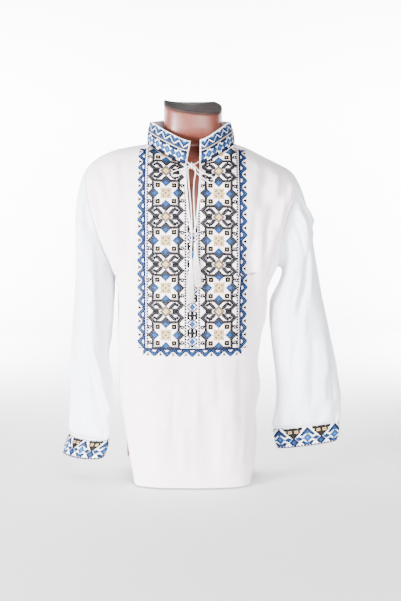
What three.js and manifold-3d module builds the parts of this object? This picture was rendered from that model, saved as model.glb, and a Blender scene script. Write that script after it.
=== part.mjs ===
// Embroidered folk shirt, worn by a limbless torso form that it rests on. Millimetres.
// +X is the wearer's left, -Y the front and +Z up; the origin is the middle of the form's foot.

import * as THREE from 'three';
import { mergeVertices } from 'three/addons/utils/BufferGeometryUtils.js';
import Module from 'manifold-3d';

const wasm = await Module();
wasm.setup();

/** Rows of numbers with a name for each column. */
const table = (columns, rows) => rows.map(
  (row) => Object.fromEntries(columns.map((name, i) => [name, row[i]])),
);

// ------------------------------------------------------------------ driving dimensions
const CLOTH = 1.6;              // wall of the shirt's linen
const BAND = 2.4;               // wall of the collar and cuffs, two layers with stitches
const SEAM = 0.3;               // gap between pieces that are sewn together
const SIGN = { right: -1, left: 1 };

const ARMPIT = 455;             // height of the armpits; the left one sits higher
const ARMPIT_LIFT = { right: 0, left: 15 };
const NECK = { right: 103, left: 95 };      // half width of the neckline
const TIP = { right: 236, left: 236 };      // half width over the dropped shoulders
const NECKLINE = { front: 703, side: 748, back: 758 };  // heights of the neck seam
const NECK_DEPTH = { front: 80, back: 66 };
const VENT = 150;               // height of the tops of the side vents
const ARMHOLE_DEPTH = 62;       // half the armhole's depth, front to back
const SLIT = { start: 6, halfGap: 14 };     // first row of the neck slit, half its width on top

// Counts of the grids' rows and columns.
const NECK_COLUMNS = 5;
const SHOULDER_COLUMNS = 6;
const ARMHOLE_ROWS = 14;
const ROUND = 2 * ARMHOLE_ROWS; // columns round a sleeve
const CAP_ROWS = 6;
const SLEEVE_RINGS = 12;
const CUFF_ROWS = 3;
const COLLAR_ROWS = 4;

// Powers of the panels' roundness: in plan, up the chest, and round the neckline.
const PLAN = 2.6;
const CHEST = 4;
const NECK_ROUND = 2.2;
const HEM_CORNER = 4;           // how near its ends the back hem turns up
const ARMHOLE_PULL = 6;         // how near the armhole its depth draws the panel with it

// Height of the shoulder seam over each half.
const SHOULDER = {
  right: table(['x', 'z'], [[103, 748], [145, 741], [177, 734], [207, 721], [226, 708], [236, 699]]),
  left: table(['x', 'z'], [
    [95, 748], [123, 738], [152, 723], [184, 707], [213, 692], [227, 680], [236, 667],
  ]),
};

// Half width of the panels up the armhole, t = 0 at the armpit and 1 at the shoulder's tip.
const ARMHOLE = {
  right: table(['t', 'x'], [[0, 172], [0.2, 197], [0.4, 214], [0.65, 230], [0.87, 238], [1, 236]]),
  left: table(['t', 'x'], [[0, 190], [0.25, 196], [0.48, 207], [0.73, 225], [1, 236]]),
};

// Panels from the hem to the armpit: half widths, and y of the side edge and of the middle.
const FRONT = {
  sign: -1,
  slit: true,
  hem: { middle: 3, right: 3, left: 3 },
  neckDepth: -NECK_DEPTH.front,
  levels: table(['z', 'right', 'left', 'edge', 'middle'], [
    [3, 127, 124, -78, -117],
    [50, 138, 137, -55, -118],
    [110, 151, 143, -22, -118],
    [150, 158, 142, 0, -118],
    [203, 166, 152, 0, -118],
    [251, 167, 147, 0, -117],
    [300, 169, 152, 0, -115],
    [352, 170, 160, 0, -115],
    [391, 170, 165, 0, -117],
    [426, 171, 171, 0, -119],
    [470, 172, 190, 0, -120],
  ]),
};
const BACK = {
  sign: 1,
  slit: false,
  hem: { middle: 6, right: 34, left: 6 },
  neckDepth: NECK_DEPTH.back,
  levels: table(['z', 'right', 'left', 'edge', 'middle'], [
    [6, 148, 138, 9, 100],
    [60, 150, 141, 7, 100],
    [110, 151, 143, 4, 101],
    [150, 158, 142, 0, 102],
    [203, 166, 152, 0, 103],
    [251, 167, 147, 0, 104],
    [300, 169, 152, 0, 105],
    [352, 170, 160, 0, 106],
    [391, 170, 165, 0, 107],
    [426, 171, 171, 0, 108],
    [470, 172, 190, 0, 108],
  ]),
};
const BODY_LEVELS = [40, 80, 115, 150, 190, 235, 285, 335, 380, 420];

// Largest folds of the panels, from (x1, z1) to (x2, z2): half width and height, negative in.
const PANEL_FOLDS = {
  front: table(['x1', 'z1', 'x2', 'z2', 'width', 'height'], [
    [-186, 668, -158, 430, 12, 7],
    [-205, 665, -190, 500, 10, -7],
    [-150, 470, -146, 210, 13, 5],
    [-112, 190, -44, 290, 12, 5],
    [-128, 300, -120, 60, 12, -4],
    [-60, 210, -64, 8, 15, 4],
    [30, 215, 36, 5, 14, -4],
    [92, 250, 80, 4, 15, 5],
    [122, 545, 140, 320, 11, -8],
    [150, 470, 157, 300, 10, 5],
    [157, 700, 150, 590, 10, -7],
    [178, 640, 172, 545, 10, -6],
    [190, 620, 160, 470, 9, 6],
  ]),
  back: table(['x1', 'z1', 'x2', 'z2', 'width', 'height'], [
    [-188, 650, -150, 440, 12, -6],
    [-160, 640, -120, 330, 13, 6],
    [-80, 560, -60, 200, 16, -6],
    [-30, 700, -22, 380, 15, 4],
    [-110, 250, -96, 10, 14, 5],
    [-10, 240, 4, 8, 15, -5],
    [40, 620, 66, 250, 15, 6],
    [84, 260, 74, 10, 14, 5],
    [120, 600, 130, 350, 12, -6],
    [180, 650, 150, 450, 12, 6],
  ]),
};

// Sleeve rings, from the cuff up: height, middle, half width seen from the front, half length
// of the flattened round, its turn and its slope.
const RINGS = {
  right: table(['z', 'x', 'y', 'width', 'deep', 'turn', 'slope'], [
    [86, 235, 6, 48.5, 70, -42, -0.08],
    [137, 233, 5, 53, 71, -39, -0.04],
    [190, 232.8, 4, 51.2, 72, -32, 0],
    [235, 233.5, 4, 48.5, 74, -24, 0],
    [280, 234.4, 4, 44.8, 76, -16, 0],
    [326, 230.6, 4, 44.6, 78, -8, 0],
    [371, 226.2, 4, 45.8, 79, -3, 0],
    [416, 223, 4, 46, 80, 0, 0],
  ]),
  left: table(['z', 'x', 'y', 'width', 'deep', 'turn', 'slope'], [
    [110.5, 257, 0, 74, 15, 0, 0.11],
    [128, 258, 0, 74.5, 23, 0, 0.08],
    [174, 262.3, 0, 73.3, 36, 0, 0.03],
    [219, 258.7, 0, 70.7, 47, 0, 0],
    [257, 253, 1, 70, 56, 0, 0],
    [300, 245.8, 1, 67.8, 66, 0, 0],
    [348, 240, 2, 65, 74, 0, 0],
    [384, 237, 2, 60.5, 80, 0, 0],
  ]),
};
// How the sleeve leaves the armhole, outwards and down, at the armpit and at the shoulder.
const CAP = {
  right: { outArmpit: 0.5, outTip: 0.42, downArmpit: 0.4, downTip: 0.5 },
  left: { outArmpit: 1.15, outTip: 0.3, downArmpit: 0, downTip: 0.55 },
};
const CAP_STEP = 30;            // stretch of sleeve under the cap that gives its direction there

// Largest folds of the sleeves, from (turn1, z1) to (turn2, z2); 0 degrees is the outer side,
// 90 the front, 180 the side towards the body and 270 the back.
const SLEEVE_FOLDS = {
  right: table(['turn1', 'z1', 'turn2', 'z2', 'width', 'height'], [
    [150, 560, 118, 330, 11, -6],
    [118, 600, 84, 300, 12, 6],
    [100, 215, 135, 120, 12, 6],
    [70, 240, 60, 110, 12, -5],
    [30, 600, 20, 240, 13, -4],
    [215, 520, 240, 220, 13, -6],
    [262, 600, 282, 300, 13, 6],
    [310, 300, 300, 130, 13, -5],
  ]),
  left: table(['turn1', 'z1', 'turn2', 'z2', 'width', 'height'], [
    [66, 520, 100, 340, 10, -10],
    [98, 350, 150, 150, 10, -9],
    [104, 540, 132, 330, 11, 7],
    [58, 600, 36, 560, 11, 8],
    [40, 420, 62, 190, 12, 5],
    [22, 590, 16, 330, 13, -4],
    [212, 470, 236, 230, 13, -6],
    [262, 600, 284, 320, 13, 6],
    [312, 330, 300, 160, 13, -5],
  ]),
};
// Gathers over the cuffs: place round the sleeve, height, half width and reach up the sleeve.
const GATHERS = table(['turn', 'height', 'width', 'reach'], [
  [14, 4.5, 9, 52],
  [52, 5.5, 9, 76],
  [90, 4, 9, 44],
  [128, 6, 9, 66],
  [167, 4, 9, 50],
  [206, 5, 9, 70],
  [244, 4.5, 9, 48],
  [283, 5.5, 9, 64],
  [322, 4.5, 9, 56],
]);
const GATHER_PEAK = 13;         // how far over the cuff's seam the gathers are highest

// Lower edges of the cuffs.
const CUFF_END = {
  right: { z: 42, x: 251, y: 6, width: 51.5, deep: 71, turn: -42, slope: -0.1 },
  left: { z: 66.5, x: 259, y: 0, width: 67, deep: 16, turn: 0, slope: 0.13 },
};
const CUFF_BULGE = 3;

// Stand collar round the neckline, w = 0 at the right front end, 0.5 at the back, 1 at the left end.
const COLLAR = table(['w', 'dx', 'dy', 'rise'], [
  [0, 9, 4, 51],
  [0.25, 6, 2, 52],
  [0.5, 0, -8, 55],
  [0.75, -11, 2, 52],
  [1, 1.5, 4, 54],
]);
const COLLAR_BULGE = 2.5;

// Narrow white edging of the slit, over the panel.
const BINDING = { width: 3.6, thick: 1, clear: 0.6, rows: [6.3, 7, 8, 9, 10, 11, 12, 13, 13.5] };

// Tie cords along the middles of their routes: from the collar's corner through the knot, round
// a loop, back through the knot and down to the tassel.
const CORD = 2.4;
const CORD_SIDES = 8;
const CORD_STEPS = { right: 48, left: 46 };
const CORDS = {
  right: table(['x', 'y', 'z'], [
    [-15.5, -81, 709], [-12.6, -84.4, 704.6], [-8.6, -92, 700], [-4.8, -96, 697.9],
    [-1, -96.6, 697], [2.8, -98.4, 695], [7.4, -101, 690.4], [11.6, -104.6, 684.8], [18, -107.8, 680.2],
    [28, -108.6, 676.4], [38, -109.6, 673], [45, -111, 667], [44.4, -112.4, 660],
    [38.5, -113, 657.6], [31, -112.8, 661.2], [24, -111.8, 666.2], [17, -110.8, 671.4],
    [10.6, -107.8, 677], [5.2, -104.2, 683.2], [1, -99.8, 689.4], [-3.4, -96.8, 693.2],
    [-7.6, -98, 692.4], [-10.4, -101, 688], [-11, -104.6, 681], [-10.4, -108, 672],
    [-9, -112, 656], [-7.4, -115.2, 638], [-5.4, -118, 618], [-3.8, -120.2, 598],
    [-2.8, -122, 578], [-2.4, -122.8, 562], [-2.6, -122.6, 546], [-3.2, -122.2, 526],
    [-3.8, -122.8, 508], [-4.2, -124.2, 497.4],
  ]),
  left: table(['x', 'y', 'z'], [
    [15.4, -80.8, 706], [11.6, -87.5, 703], [6.4, -96.5, 700], [1, -100.2, 698], [-4, -100.8, 697],
    [-9, -103, 694.4], [-15, -104.6, 691.4], [-22, -103.8, 688.6], [-30, -104.4, 686.2],
    [-39, -105.8, 683.6], [-45.5, -107.4, 679.4], [-44.2, -109.4, 673.6], [-37, -109.6, 672],
    [-29, -108.8, 675.2], [-21.5, -107.8, 679.8], [-15, -106.6, 684.6], [-9.4, -104.8, 689],
    [-3.6, -101, 692.8], [1.6, -101.8, 691.6], [5, -105.4, 687.2], [5.6, -108.6, 681.4],
    [4.6, -110, 673.6], [3, -111.6, 665], [1.8, -114, 652], [1.4, -116, 636], [2, -118, 616],
    [2.8, -120, 596], [3.6, -122, 578], [4.2, -122.8, 562], [4.8, -122.6, 548],
    [5.3, -123.2, 539], [5.6, -124.4, 531.4],
  ]),
};
const KNOT = { x: -3, y: -98.6, z: 695.2, radius: 6.3, section: 1 };

// Tassels: top and end of each, and how they spread.
const TASSELS = {
  right: { x: -4.2, z: 497, endX: -6.5, endZ: 400 },
  left: { x: 5.6, z: 531, endX: 12, endZ: 434 },
};
const TASSEL = { strands: 24, head: 3.3, headHigh: 11, lift: 4.5, wide: 6.6, deep: 3.1, strand: 0.7 };

// Torso form, from its foot to the neck.
const FORM_SIDES = 28;
const FORM_ROUND = 2.5;
const FORM_MIDDLE = -4;
const FORM = table(['z', 'half', 'front', 'back'], [
  [0, 106, -78, 72],
  [50, 113, -84, 77],
  [100, 121, -90, 82],
  [150, 127, -95, 86],
  [200, 131, -97, 86],
  [260, 128, -93, 80],
  [320, 128, -91, 76],
  [380, 136, -97, 82],
  [440, 150, -105, 91],
  [500, 159, -110, 97],
  [550, 164, -111, 99],
  [600, 182, -107, 98],
  [640, 190, -98, 94],
  [668, 189, -85, 87],
  [688, 180, -75, 79],
  [704, 173, -66, 72],
  [716, 157, -58, 68],
  [727, 136, -49, 64],
  [736, 109, -38, 60],
  [743, 83, -33, 57],
  [757, 75, -48, 54],
  [775, 68, -58, 51],
  [810, 66, -61, 49],
  [849, 66, -62, 49],
]);
const NECK_BASE = 775;
const NECK_TOP = 849;
const NECK_CUT = { middle: 839, across: -0.11, deep: 0.383 };   // height and slopes of the cut
const CAP_THICK = 6;

const COLOURS = {
  linen: { color: 0xefebee, roughness: 0.9 },
  band: { color: 0x8fa5c2, roughness: 0.9 },
  cord: { color: 0xf4ecee, roughness: 0.8 },
  form: { color: 0xc48a7c, roughness: 0.3 },
  cap: { color: 0x8d8480, roughness: 0.5 },
};

// ------------------------------------------------------------------ small helpers
const vec = (x, y, z) => new THREE.Vector3(x, y, z);
const radians = THREE.MathUtils.degToRad;
const smooth = (value) => THREE.MathUtils.smoothstep(value, 0, 1);
const arc = (value, power, root) => Math.max(1 - value ** power, 0) ** (1 / root);

/** A table's column at a key: a smooth curve through the rows, held at both ends. */
function read(rows, key, at, column) {
  const last = rows.length - 1;
  if (at <= rows[0][key]) return rows[0][column];
  if (at >= rows[last][key]) return rows[last][column];
  const i = rows.findIndex((row) => row[key] > at) - 1;
  const slope = (j) => {
    const before = rows[Math.max(j - 1, 0)];
    const after = rows[Math.min(j + 1, last)];
    return (after[column] - before[column]) / (after[key] - before[key]);
  };
  const span = rows[i + 1][key] - rows[i][key];
  const s = (at - rows[i][key]) / span;
  const s2 = s * s;
  const s3 = s2 * s;
  return (2 * s3 - 3 * s2 + 1) * rows[i][column] + (s3 - 2 * s2 + s) * span * slope(i)
    + (3 * s2 - 2 * s3) * rows[i + 1][column] + (s3 - s2) * span * slope(i + 1);
}

/** Height of all folds at a place: ridges along segments, soft across and at their ends. */
function foldHeight(folds, a, b, aspect) {
  return folds.reduce((sum, fold) => {
    const along = { a: (fold.a2 - fold.a1) * aspect, b: fold.b2 - fold.b1 };
    const here = { a: (a - fold.a1) * aspect, b: b - fold.b1 };
    const length = Math.hypot(along.a, along.b);
    const s = (here.a * along.a + here.b * along.b) / length ** 2;
    const across = (here.a * along.b - here.b * along.a) / length;
    const fade = smooth(s / 0.3) * smooth((1 - s) / 0.3);
    return sum + fold.height * fade * Math.exp(-0.5 * (across / fold.width) ** 2);
  }, 0);
}
const panelFolds = (rows) => rows.map((row) => ({
  ...row, a1: row.x1, b1: row.z1, a2: row.x2, b2: row.z2,
}));
const sleeveFolds = (rows) => rows.map((row) => ({
  ...row, a1: row.turn1, b1: row.z1, a2: row.turn2, b2: row.z2,
}));

/** A grid of points, rows of columns, with the way its quads face. */
function gridNormal(grid, row, column) {
  const { points, closed } = grid;
  const columns = points[0].length;
  const before = closed ? (column + columns - 1) % columns : Math.max(column - 1, 0);
  const after = closed ? (column + 1) % columns : Math.min(column + 1, columns - 1);
  const under = Math.max(row - 1, 0);
  const over = Math.min(row + 1, points.length - 1);
  const across = points[row][after].clone().sub(points[row][before]);
  const up = points[over][column].clone().sub(points[under][column]);
  const normal = across.cross(up).normalize();
  return grid.flip ? normal.negate() : normal;
}

/** The same grid with each point moved out along its normal by height(row, column). */
function raise(grid, height) {
  const points = grid.points.map((row, j) => row.map(
    (point, i) => point.clone().addScaledVector(gridNormal(grid, j, i), height(j, i)),
  ));
  return { ...grid, points };
}

/** Two triangles for each quad of a grid, as triples of points. */
function triangles(grid) {
  const { points, closed, flip } = grid;
  const columns = points[0].length;
  const faces = [];
  for (let j = 0; j + 1 < points.length; j += 1) {
    for (let i = 0; i + 1 < columns + (closed ? 1 : 0); i += 1) {
      const next = (i + 1) % columns;
      const quad = [points[j][i], points[j][next], points[j + 1][next], points[j + 1][i]];
      const [a, b, c, d] = flip ? quad.reverse() : quad;
      faces.push([a, b, c], [a, c, d]);
    }
  }
  return faces;
}

const keyOf = (point) => [point.x, point.y, point.z].map((v) => Math.round(v * 1000)).join();

/** One normal for each place on the garment, shared by the pieces that are sewn there. */
function sharedNormals(pieces) {
  const normals = new Map();
  pieces.flat().forEach((face) => {
    const [a, b, c] = face;
    const normal = b.clone().sub(a).cross(c.clone().sub(a)).normalize();
    face.forEach((point, i) => {
      const key = keyOf(point);
      if (!normals.has(key)) normals.set(key, vec(0, 0, 0));
      const corner = face[(i + 1) % 3].clone().sub(point).angleTo(face[(i + 2) % 3].clone().sub(point));
      normals.get(key).addScaledVector(normal, corner);
    });
  });
  normals.forEach((normal) => normal.normalize());
  return normals;
}

/** Closed wall: an outer skin, drawn back from its edges, an inner skin and the edges between. */
function wall(faces, normals, thickness, drawn = SEAM / 2) {
  const index = new Map();
  const outer = [];
  const normal = [];
  const skin = faces.map((face) => face.map((point) => {
    const key = keyOf(point);
    if (!index.has(key)) {
      index.set(key, outer.length);
      outer.push(point.clone());
      normal.push(normals.get(key));
    }
    return index.get(key);
  }));
  const seen = new Set(skin.flatMap(([a, b, c]) => [`${a},${b}`, `${b},${c}`, `${c},${a}`]));
  const before = (a, b) => outer[a].z - outer[b].z || outer[a].x - outer[b].x || outer[a].y - outer[b].y;
  const edges = [];
  const inward = outer.map(() => vec(0, 0, 0));
  skin.forEach(([a, b, c]) => {
    const facing = outer[b].clone().sub(outer[a]).cross(outer[c].clone().sub(outer[a])).normalize();
    [[a, b], [b, c], [c, a]].forEach(([from, to]) => {
      if (seen.has(`${to},${from}`)) return;
      edges.push({ from, to, upwards: before(from, to) < 0 });
      const away = facing.clone().cross(outer[to].clone().sub(outer[from])).normalize();
      inward[from].add(away);
      inward[to].add(away);
    });
  });
  outer.forEach((point, i) => {
    if (inward[i].lengthSq() > 0) point.addScaledVector(inward[i].normalize(), drawn);
  });
  const inner = outer.map((point, i) => point.clone().addScaledVector(normal[i], -thickness));
  const shift = outer.length;
  const solid = [
    ...skin,
    ...skin.map(([a, b, c]) => [a + shift, c + shift, b + shift]),
    ...edges.flatMap(({ from: a, to: b, upwards }) => (upwards
      ? [[b, a, a + shift], [b, a + shift, b + shift]]
      : [[b, a, b + shift], [a, a + shift, b + shift]])),
  ];
  return indexed([...outer, ...inner], solid);
}

/** Geometry from points and triples of indices. */
function indexed(points, faces) {
  const geometry = new THREE.BufferGeometry();
  const positions = points.flatMap((point) => point.toArray());
  geometry.setAttribute('position', new THREE.Float32BufferAttribute(positions, 3));
  geometry.setIndex(faces.flat());
  geometry.computeVertexNormals();
  return geometry;
}

/** Closed solid through rings of points that run counter-clockwise from above, from low to high. */
function loft(rings) {
  const count = rings[0].length;
  const faces = [];
  const at = (ring, i) => ring * count + (i % count);
  for (let j = 0; j + 1 < rings.length; j += 1) {
    for (let i = 0; i < count; i += 1) {
      faces.push([at(j, i), at(j, i + 1), at(j + 1, i + 1)], [at(j, i), at(j + 1, i + 1), at(j + 1, i)]);
    }
  }
  const top = rings.length - 1;
  for (let i = 0; i < Math.floor((count - 1) / 2); i += 1) {
    const strip = [i, i + 1, count - i - 1, (count - i) % count];
    faces.push([strip[0], strip[2], strip[1]].map((k) => at(0, k)));
    faces.push([strip[0], strip[1], strip[2]].map((k) => at(top, k)));
    if (i > 0) {
      faces.push([strip[0], strip[3], strip[2]].map((k) => at(0, k)));
      faces.push([strip[0], strip[2], strip[3]].map((k) => at(top, k)));
    }
  }
  if (count % 2 === 0) {
    const half = count / 2;
    faces.push([half - 1, half + 1, half].map((k) => at(0, k)));
    faces.push([half - 1, half, half + 1].map((k) => at(top, k)));
  }
  return indexed(rings.flat(), faces);
}

/** Several closed solids joined into one. */
function union(geometries) {
  const solids = geometries.map((geometry) => {
    const bare = geometry.clone();
    bare.deleteAttribute('normal');
    bare.deleteAttribute('uv');
    const merged = mergeVertices(bare);
    return new wasm.Manifold(new wasm.Mesh({
      numProp: 3,
      vertProperties: new Float32Array(merged.attributes.position.array),
      triVerts: new Uint32Array(merged.index.array),
    }));
  });
  const mesh = solids.reduce((sum, solid) => sum.add(solid)).getMesh();
  const geometry = new THREE.BufferGeometry();
  geometry.setAttribute('position', new THREE.BufferAttribute(mesh.vertProperties, 3));
  geometry.setIndex(new THREE.BufferAttribute(mesh.triVerts, 1));
  geometry.computeVertexNormals();
  return geometry;
}

// ------------------------------------------------------------------ front and back panels
const armholeShare = (row) => (1 - Math.cos(Math.PI * row / ARMHOLE_ROWS)) / 2;
const SLIT_FROM = armholeShare(SLIT.start);

/** Half width of the slit, t = 0 at the armpits and 1 at the neckline. */
function slitHalf(t) {
  const open = Math.max((t - SLIT_FROM) / (1 - SLIT_FROM), 0);
  return SLIT.halfGap * Math.sin(Math.PI / 2 * open ** 0.8);
}

/** Top of a panel at x: the shoulder seam, or the neckline between the shoulder seams. */
function topHeight(panel, side, x) {
  const neck = NECK[side];
  if (x >= neck) return read(SHOULDER[side], 'x', x, 'z');
  if (panel.slit) return NECKLINE.front + (NECKLINE.side - NECKLINE.front) * (x / neck) ** 1.9;
  return NECKLINE.side + (NECKLINE.back - NECKLINE.side) * (1 - (x / neck) ** 2);
}

/** y of a panel: a superellipse from the side edge, m = 1, to the middle, m = 0. */
function panelDepth(panel, side, x, m, level, t) {
  if (t <= 0) {
    const edge = level < VENT ? read(panel.levels, 'z', level, 'edge') : 0;
    const middle = read(panel.levels, 'z', level, 'middle');
    return edge + (middle - edge) * arc(m, PLAN, PLAN);
  }
  const top = panel.neckDepth * arc(Math.min(x / NECK[side], 1), NECK_ROUND, NECK_ROUND);
  const chest = panel.levels[panel.levels.length - 1].middle;
  const middle = top + (chest - top) * arc(t, CHEST, NECK_ROUND);
  const edge = panel.sign * ARMHOLE_DEPTH * 2 * Math.sqrt(Math.max(t * (1 - t), 0));
  const share = arc(m, PLAN, PLAN);
  return middle * share + edge * (1 - share) * m ** ARMHOLE_PULL;
}

/** Point of a panel's half: column 0 at the middle; a level under the armpits, or a share t over them. */
function panelPoint(panel, side, column, level, t) {
  const slitTop = panel.slit ? SLIT.halfGap : 0;
  const slit = panel.slit && t > 0 ? slitHalf(t) : 0;
  const neckShare = (NECK[side] - slitTop) / (TIP[side] - slitTop);
  const beyond = Math.max(column - NECK_COLUMNS, 0) / SHOULDER_COLUMNS;
  const m = column <= NECK_COLUMNS
    ? neckShare * column / NECK_COLUMNS
    : neckShare + (1 - neckShare) * Math.sin(Math.PI / 2 * beyond);
  const edge = t > 0
    ? read(ARMHOLE[side], 't', t, 'x')
    : read(panel.levels, 'z', level + (level === ARMPIT ? ARMPIT_LIFT[side] : 0), side);
  const x = slit + (edge - slit) * m;
  let base = level;
  if (level === ARMPIT) base += ARMPIT_LIFT[side] * m * m;
  if (level === panel.hem.middle) base += (panel.hem[side] - panel.hem.middle) * m ** HEM_CORNER;
  const z = base + (topHeight(panel, side, x) - base) * t;
  return vec(SIGN[side] * x, panelDepth(panel, side, x, m, level, t), z);
}

/** Half a panel as a grid, with its folds; they fade out towards the seams. */
function panelHalf(panel, folds, side) {
  const columns = NECK_COLUMNS + SHOULDER_COLUMNS;
  const rows = [
    ...[panel.hem.middle, ...BODY_LEVELS].map((level) => ({ level, t: 0 })),
    ...Array.from({ length: ARMHOLE_ROWS + 1 }, (_, k) => ({ level: ARMPIT, t: armholeShare(k) })),
  ];
  const points = rows.map(({ level, t }) => Array.from(
    { length: columns + 1 },
    (_, column) => panelPoint(panel, side, column, level, t),
  ));
  const plain = { points, closed: false, flip: panel.sign * SIGN[side] > 0 };
  return raise(plain, (row, column) => {
    const { x, z } = points[row][column];
    const fromSide = smooth((columns - column) / 2.2);
    const fromTop = smooth((1 - rows[row].t) / 0.12);
    const fromMiddle = smooth(column / 1.5);
    return foldHeight(folds, x, z, 1) * fromSide * fromTop * fromMiddle;
  });
}

const SIDES = ['right', 'left'];
const frontHalves = SIDES.map((side) => panelHalf(FRONT, panelFolds(PANEL_FOLDS.front), side));
const backHalves = SIDES.map((side) => panelHalf(BACK, panelFolds(PANEL_FOLDS.back), side));

/** Front panel's depth at (x, z), on the smooth surface without folds. */
function frontDepth(x, z) {
  const side = x < 0 ? 'right' : 'left';
  const across = Math.abs(x);
  const t = Math.min(Math.max((z - ARMPIT) / (topHeight(FRONT, side, across) - ARMPIT), 0), 1);
  const edge = t > 0 ? read(ARMHOLE[side], 't', t, 'x') : read(FRONT.levels, 'z', z, side);
  const slit = slitHalf(t);
  const m = Math.max((across - slit) / (edge - slit), 0);
  return panelDepth(FRONT, side, across, m, z, t);
}

// ------------------------------------------------------------------ sleeves and cuffs
/** Point of a flattened ring round an arm: turn 0 outside, 90 front, 180 towards the body. */
function ringPoint(ring, side, turn) {
  const spin = radians(ring.turn);
  const thick = Math.sqrt(ring.width ** 2 - (ring.deep * Math.sin(spin)) ** 2) / Math.cos(spin);
  const a = thick * Math.cos(turn);
  const b = -ring.deep * Math.sin(turn);
  const out = a * Math.cos(spin) - b * Math.sin(spin);
  const back = a * Math.sin(spin) + b * Math.cos(spin);
  return vec(SIGN[side] * (ring.x + out), ring.y + back, ring.z + ring.slope * out);
}

const ringAt = (side, z) => Object.fromEntries(
  Object.keys(RINGS[side][0]).map((column) => [column, read(RINGS[side], 'z', z, column)]),
);
const turnOf = (column) => Math.PI * (1 - column / ARMHOLE_ROWS);

/** Armhole point of a column: up the front panel's edge and down the back panel's. */
function armholePoint(side, column) {
  const panel = column <= ARMHOLE_ROWS ? FRONT : BACK;
  const row = column <= ARMHOLE_ROWS ? column : ROUND - column;
  return panelPoint(panel, side, NECK_COLUMNS + SHOULDER_COLUMNS, ARMPIT, armholeShare(row));
}

/** Sleeve cap: a smooth curve from the armhole to the highest ring. */
function capPoint(side, column, s) {
  const from = armholePoint(side, column);
  const to = ringPoint(ringAt(side, Infinity), side, turnOf(column));
  const reach = from.distanceTo(to);
  const up = (1 + Math.cos(turnOf(column))) / 2;
  const cap = CAP[side];
  const out = cap.outArmpit + (cap.outTip - cap.outArmpit) * up;
  const down = cap.downArmpit + (cap.downTip - cap.downArmpit) * up;
  const bulge = -0.12 * Math.sin(turnOf(column));
  const leave = vec(SIGN[side] * out, bulge, -down).multiplyScalar(reach);
  const below = ringPoint(ringAt(side, to.z - CAP_STEP), side, turnOf(column));
  const arrive = below.sub(to).multiplyScalar(0.9 * reach / CAP_STEP);
  const s2 = s * s;
  const s3 = s2 * s;
  return from.multiplyScalar(2 * s3 - 3 * s2 + 1).addScaledVector(leave, s3 - 2 * s2 + s)
    .addScaledVector(to, 3 * s2 - 2 * s3).addScaledVector(arrive, s3 - s2);
}

/** How high the gathers stand at a place over the cuff's seam. */
function gatherHeight(degrees, above) {
  return GATHERS.reduce((sum, gather) => {
    const away = Math.abs(((degrees - gather.turn + 540) % 360) - 180);
    const rise = smooth(above / GATHER_PEAK);
    const fade = smooth((gather.reach - above) / (gather.reach - GATHER_PEAK));
    return sum + gather.height * rise * fade * Math.exp(-0.5 * (away / gather.width) ** 2);
  }, 0);
}

/** Sleeve as a grid, from the armhole down to the cuff's seam. */
function sleeveGrid(side) {
  const rings = RINGS[side];
  const low = rings[0].z;
  const high = rings[rings.length - 1].z;
  const rows = [];
  for (let j = 0; j < CAP_ROWS; j += 1) {
    rows.push(Array.from({ length: ROUND }, (_, i) => capPoint(side, i, j / CAP_ROWS)));
  }
  for (let j = 0; j < SLEEVE_RINGS; j += 1) {
    const z = low + (high - low) * (1 - j / (SLEEVE_RINGS - 1)) ** 1.25;
    rows.push(Array.from({ length: ROUND }, (_, i) => ringPoint(ringAt(side, z), side, turnOf(i))));
  }
  const folds = sleeveFolds(SLEEVE_FOLDS[side]);
  const plain = { points: rows, closed: true, flip: side === 'left' };
  return raise(plain, (row, column) => {
    const degrees = (THREE.MathUtils.radToDeg(turnOf(column)) + 360) % 360;
    const height = rows[row][column].z;
    const fromArmhole = smooth(row / 2.5);
    const fromCuff = smooth((rows.length - 1 - row) / 2);
    const ringHeight = rows[row].reduce((sum, point) => sum + point.z, 0) / ROUND;
    const fold = foldHeight(folds, degrees, height, 1.1) * fromArmhole * fromCuff;
    return row < CAP_ROWS ? fold : fold + gatherHeight(degrees, ringHeight - low);
  });
}

/** Cuff as a grid, from the sleeve's seam to its lower edge. */
function cuffGrid(side) {
  const top = ringAt(side, -Infinity);
  const end = CUFF_END[side];
  const points = Array.from({ length: CUFF_ROWS + 1 }, (_, j) => {
    const s = j / CUFF_ROWS;
    return Array.from({ length: ROUND }, (__, i) => {
      const low = ringPoint(end, side, turnOf(i));
      return ringPoint(top, side, turnOf(i)).lerp(low, s);
    });
  });
  const plain = { points, closed: true, flip: side === 'left' };
  return raise(plain, (row) => CUFF_BULGE * Math.sin(Math.PI * row / CUFF_ROWS));
}

// ------------------------------------------------------------------ collar
/** Neckline from the right front end round the back to the left front end. */
function necklinePoints() {
  const top = ({ points }) => points[points.length - 1].slice(0, NECK_COLUMNS + 1);
  const [frontRight, frontLeft] = frontHalves.map(top);
  const [backRight, backLeft] = backHalves.map(top);
  return [
    ...frontRight,
    ...backRight.slice(0, -1).reverse(),
    ...backLeft.slice(1),
    ...frontLeft.slice(0, -1).reverse(),
  ];
}

/** Stand collar as a grid that rises from the neckline and leans as its table says. */
function collarGrid() {
  const line = necklinePoints();
  const points = Array.from({ length: COLLAR_ROWS + 1 }, (_, j) => {
    const h = j / COLLAR_ROWS;
    return line.map((base, i) => {
      const w = i / (line.length - 1);
      const lean = (column) => read(COLLAR, 'w', w, column) * h;
      return base.clone().add(vec(lean('dx'), lean('dy'), lean('rise')));
    });
  });
  const plain = { points, closed: false, flip: true };
  return raise(plain, (row) => COLLAR_BULGE * Math.sin(Math.PI * row / COLLAR_ROWS));
}

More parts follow.
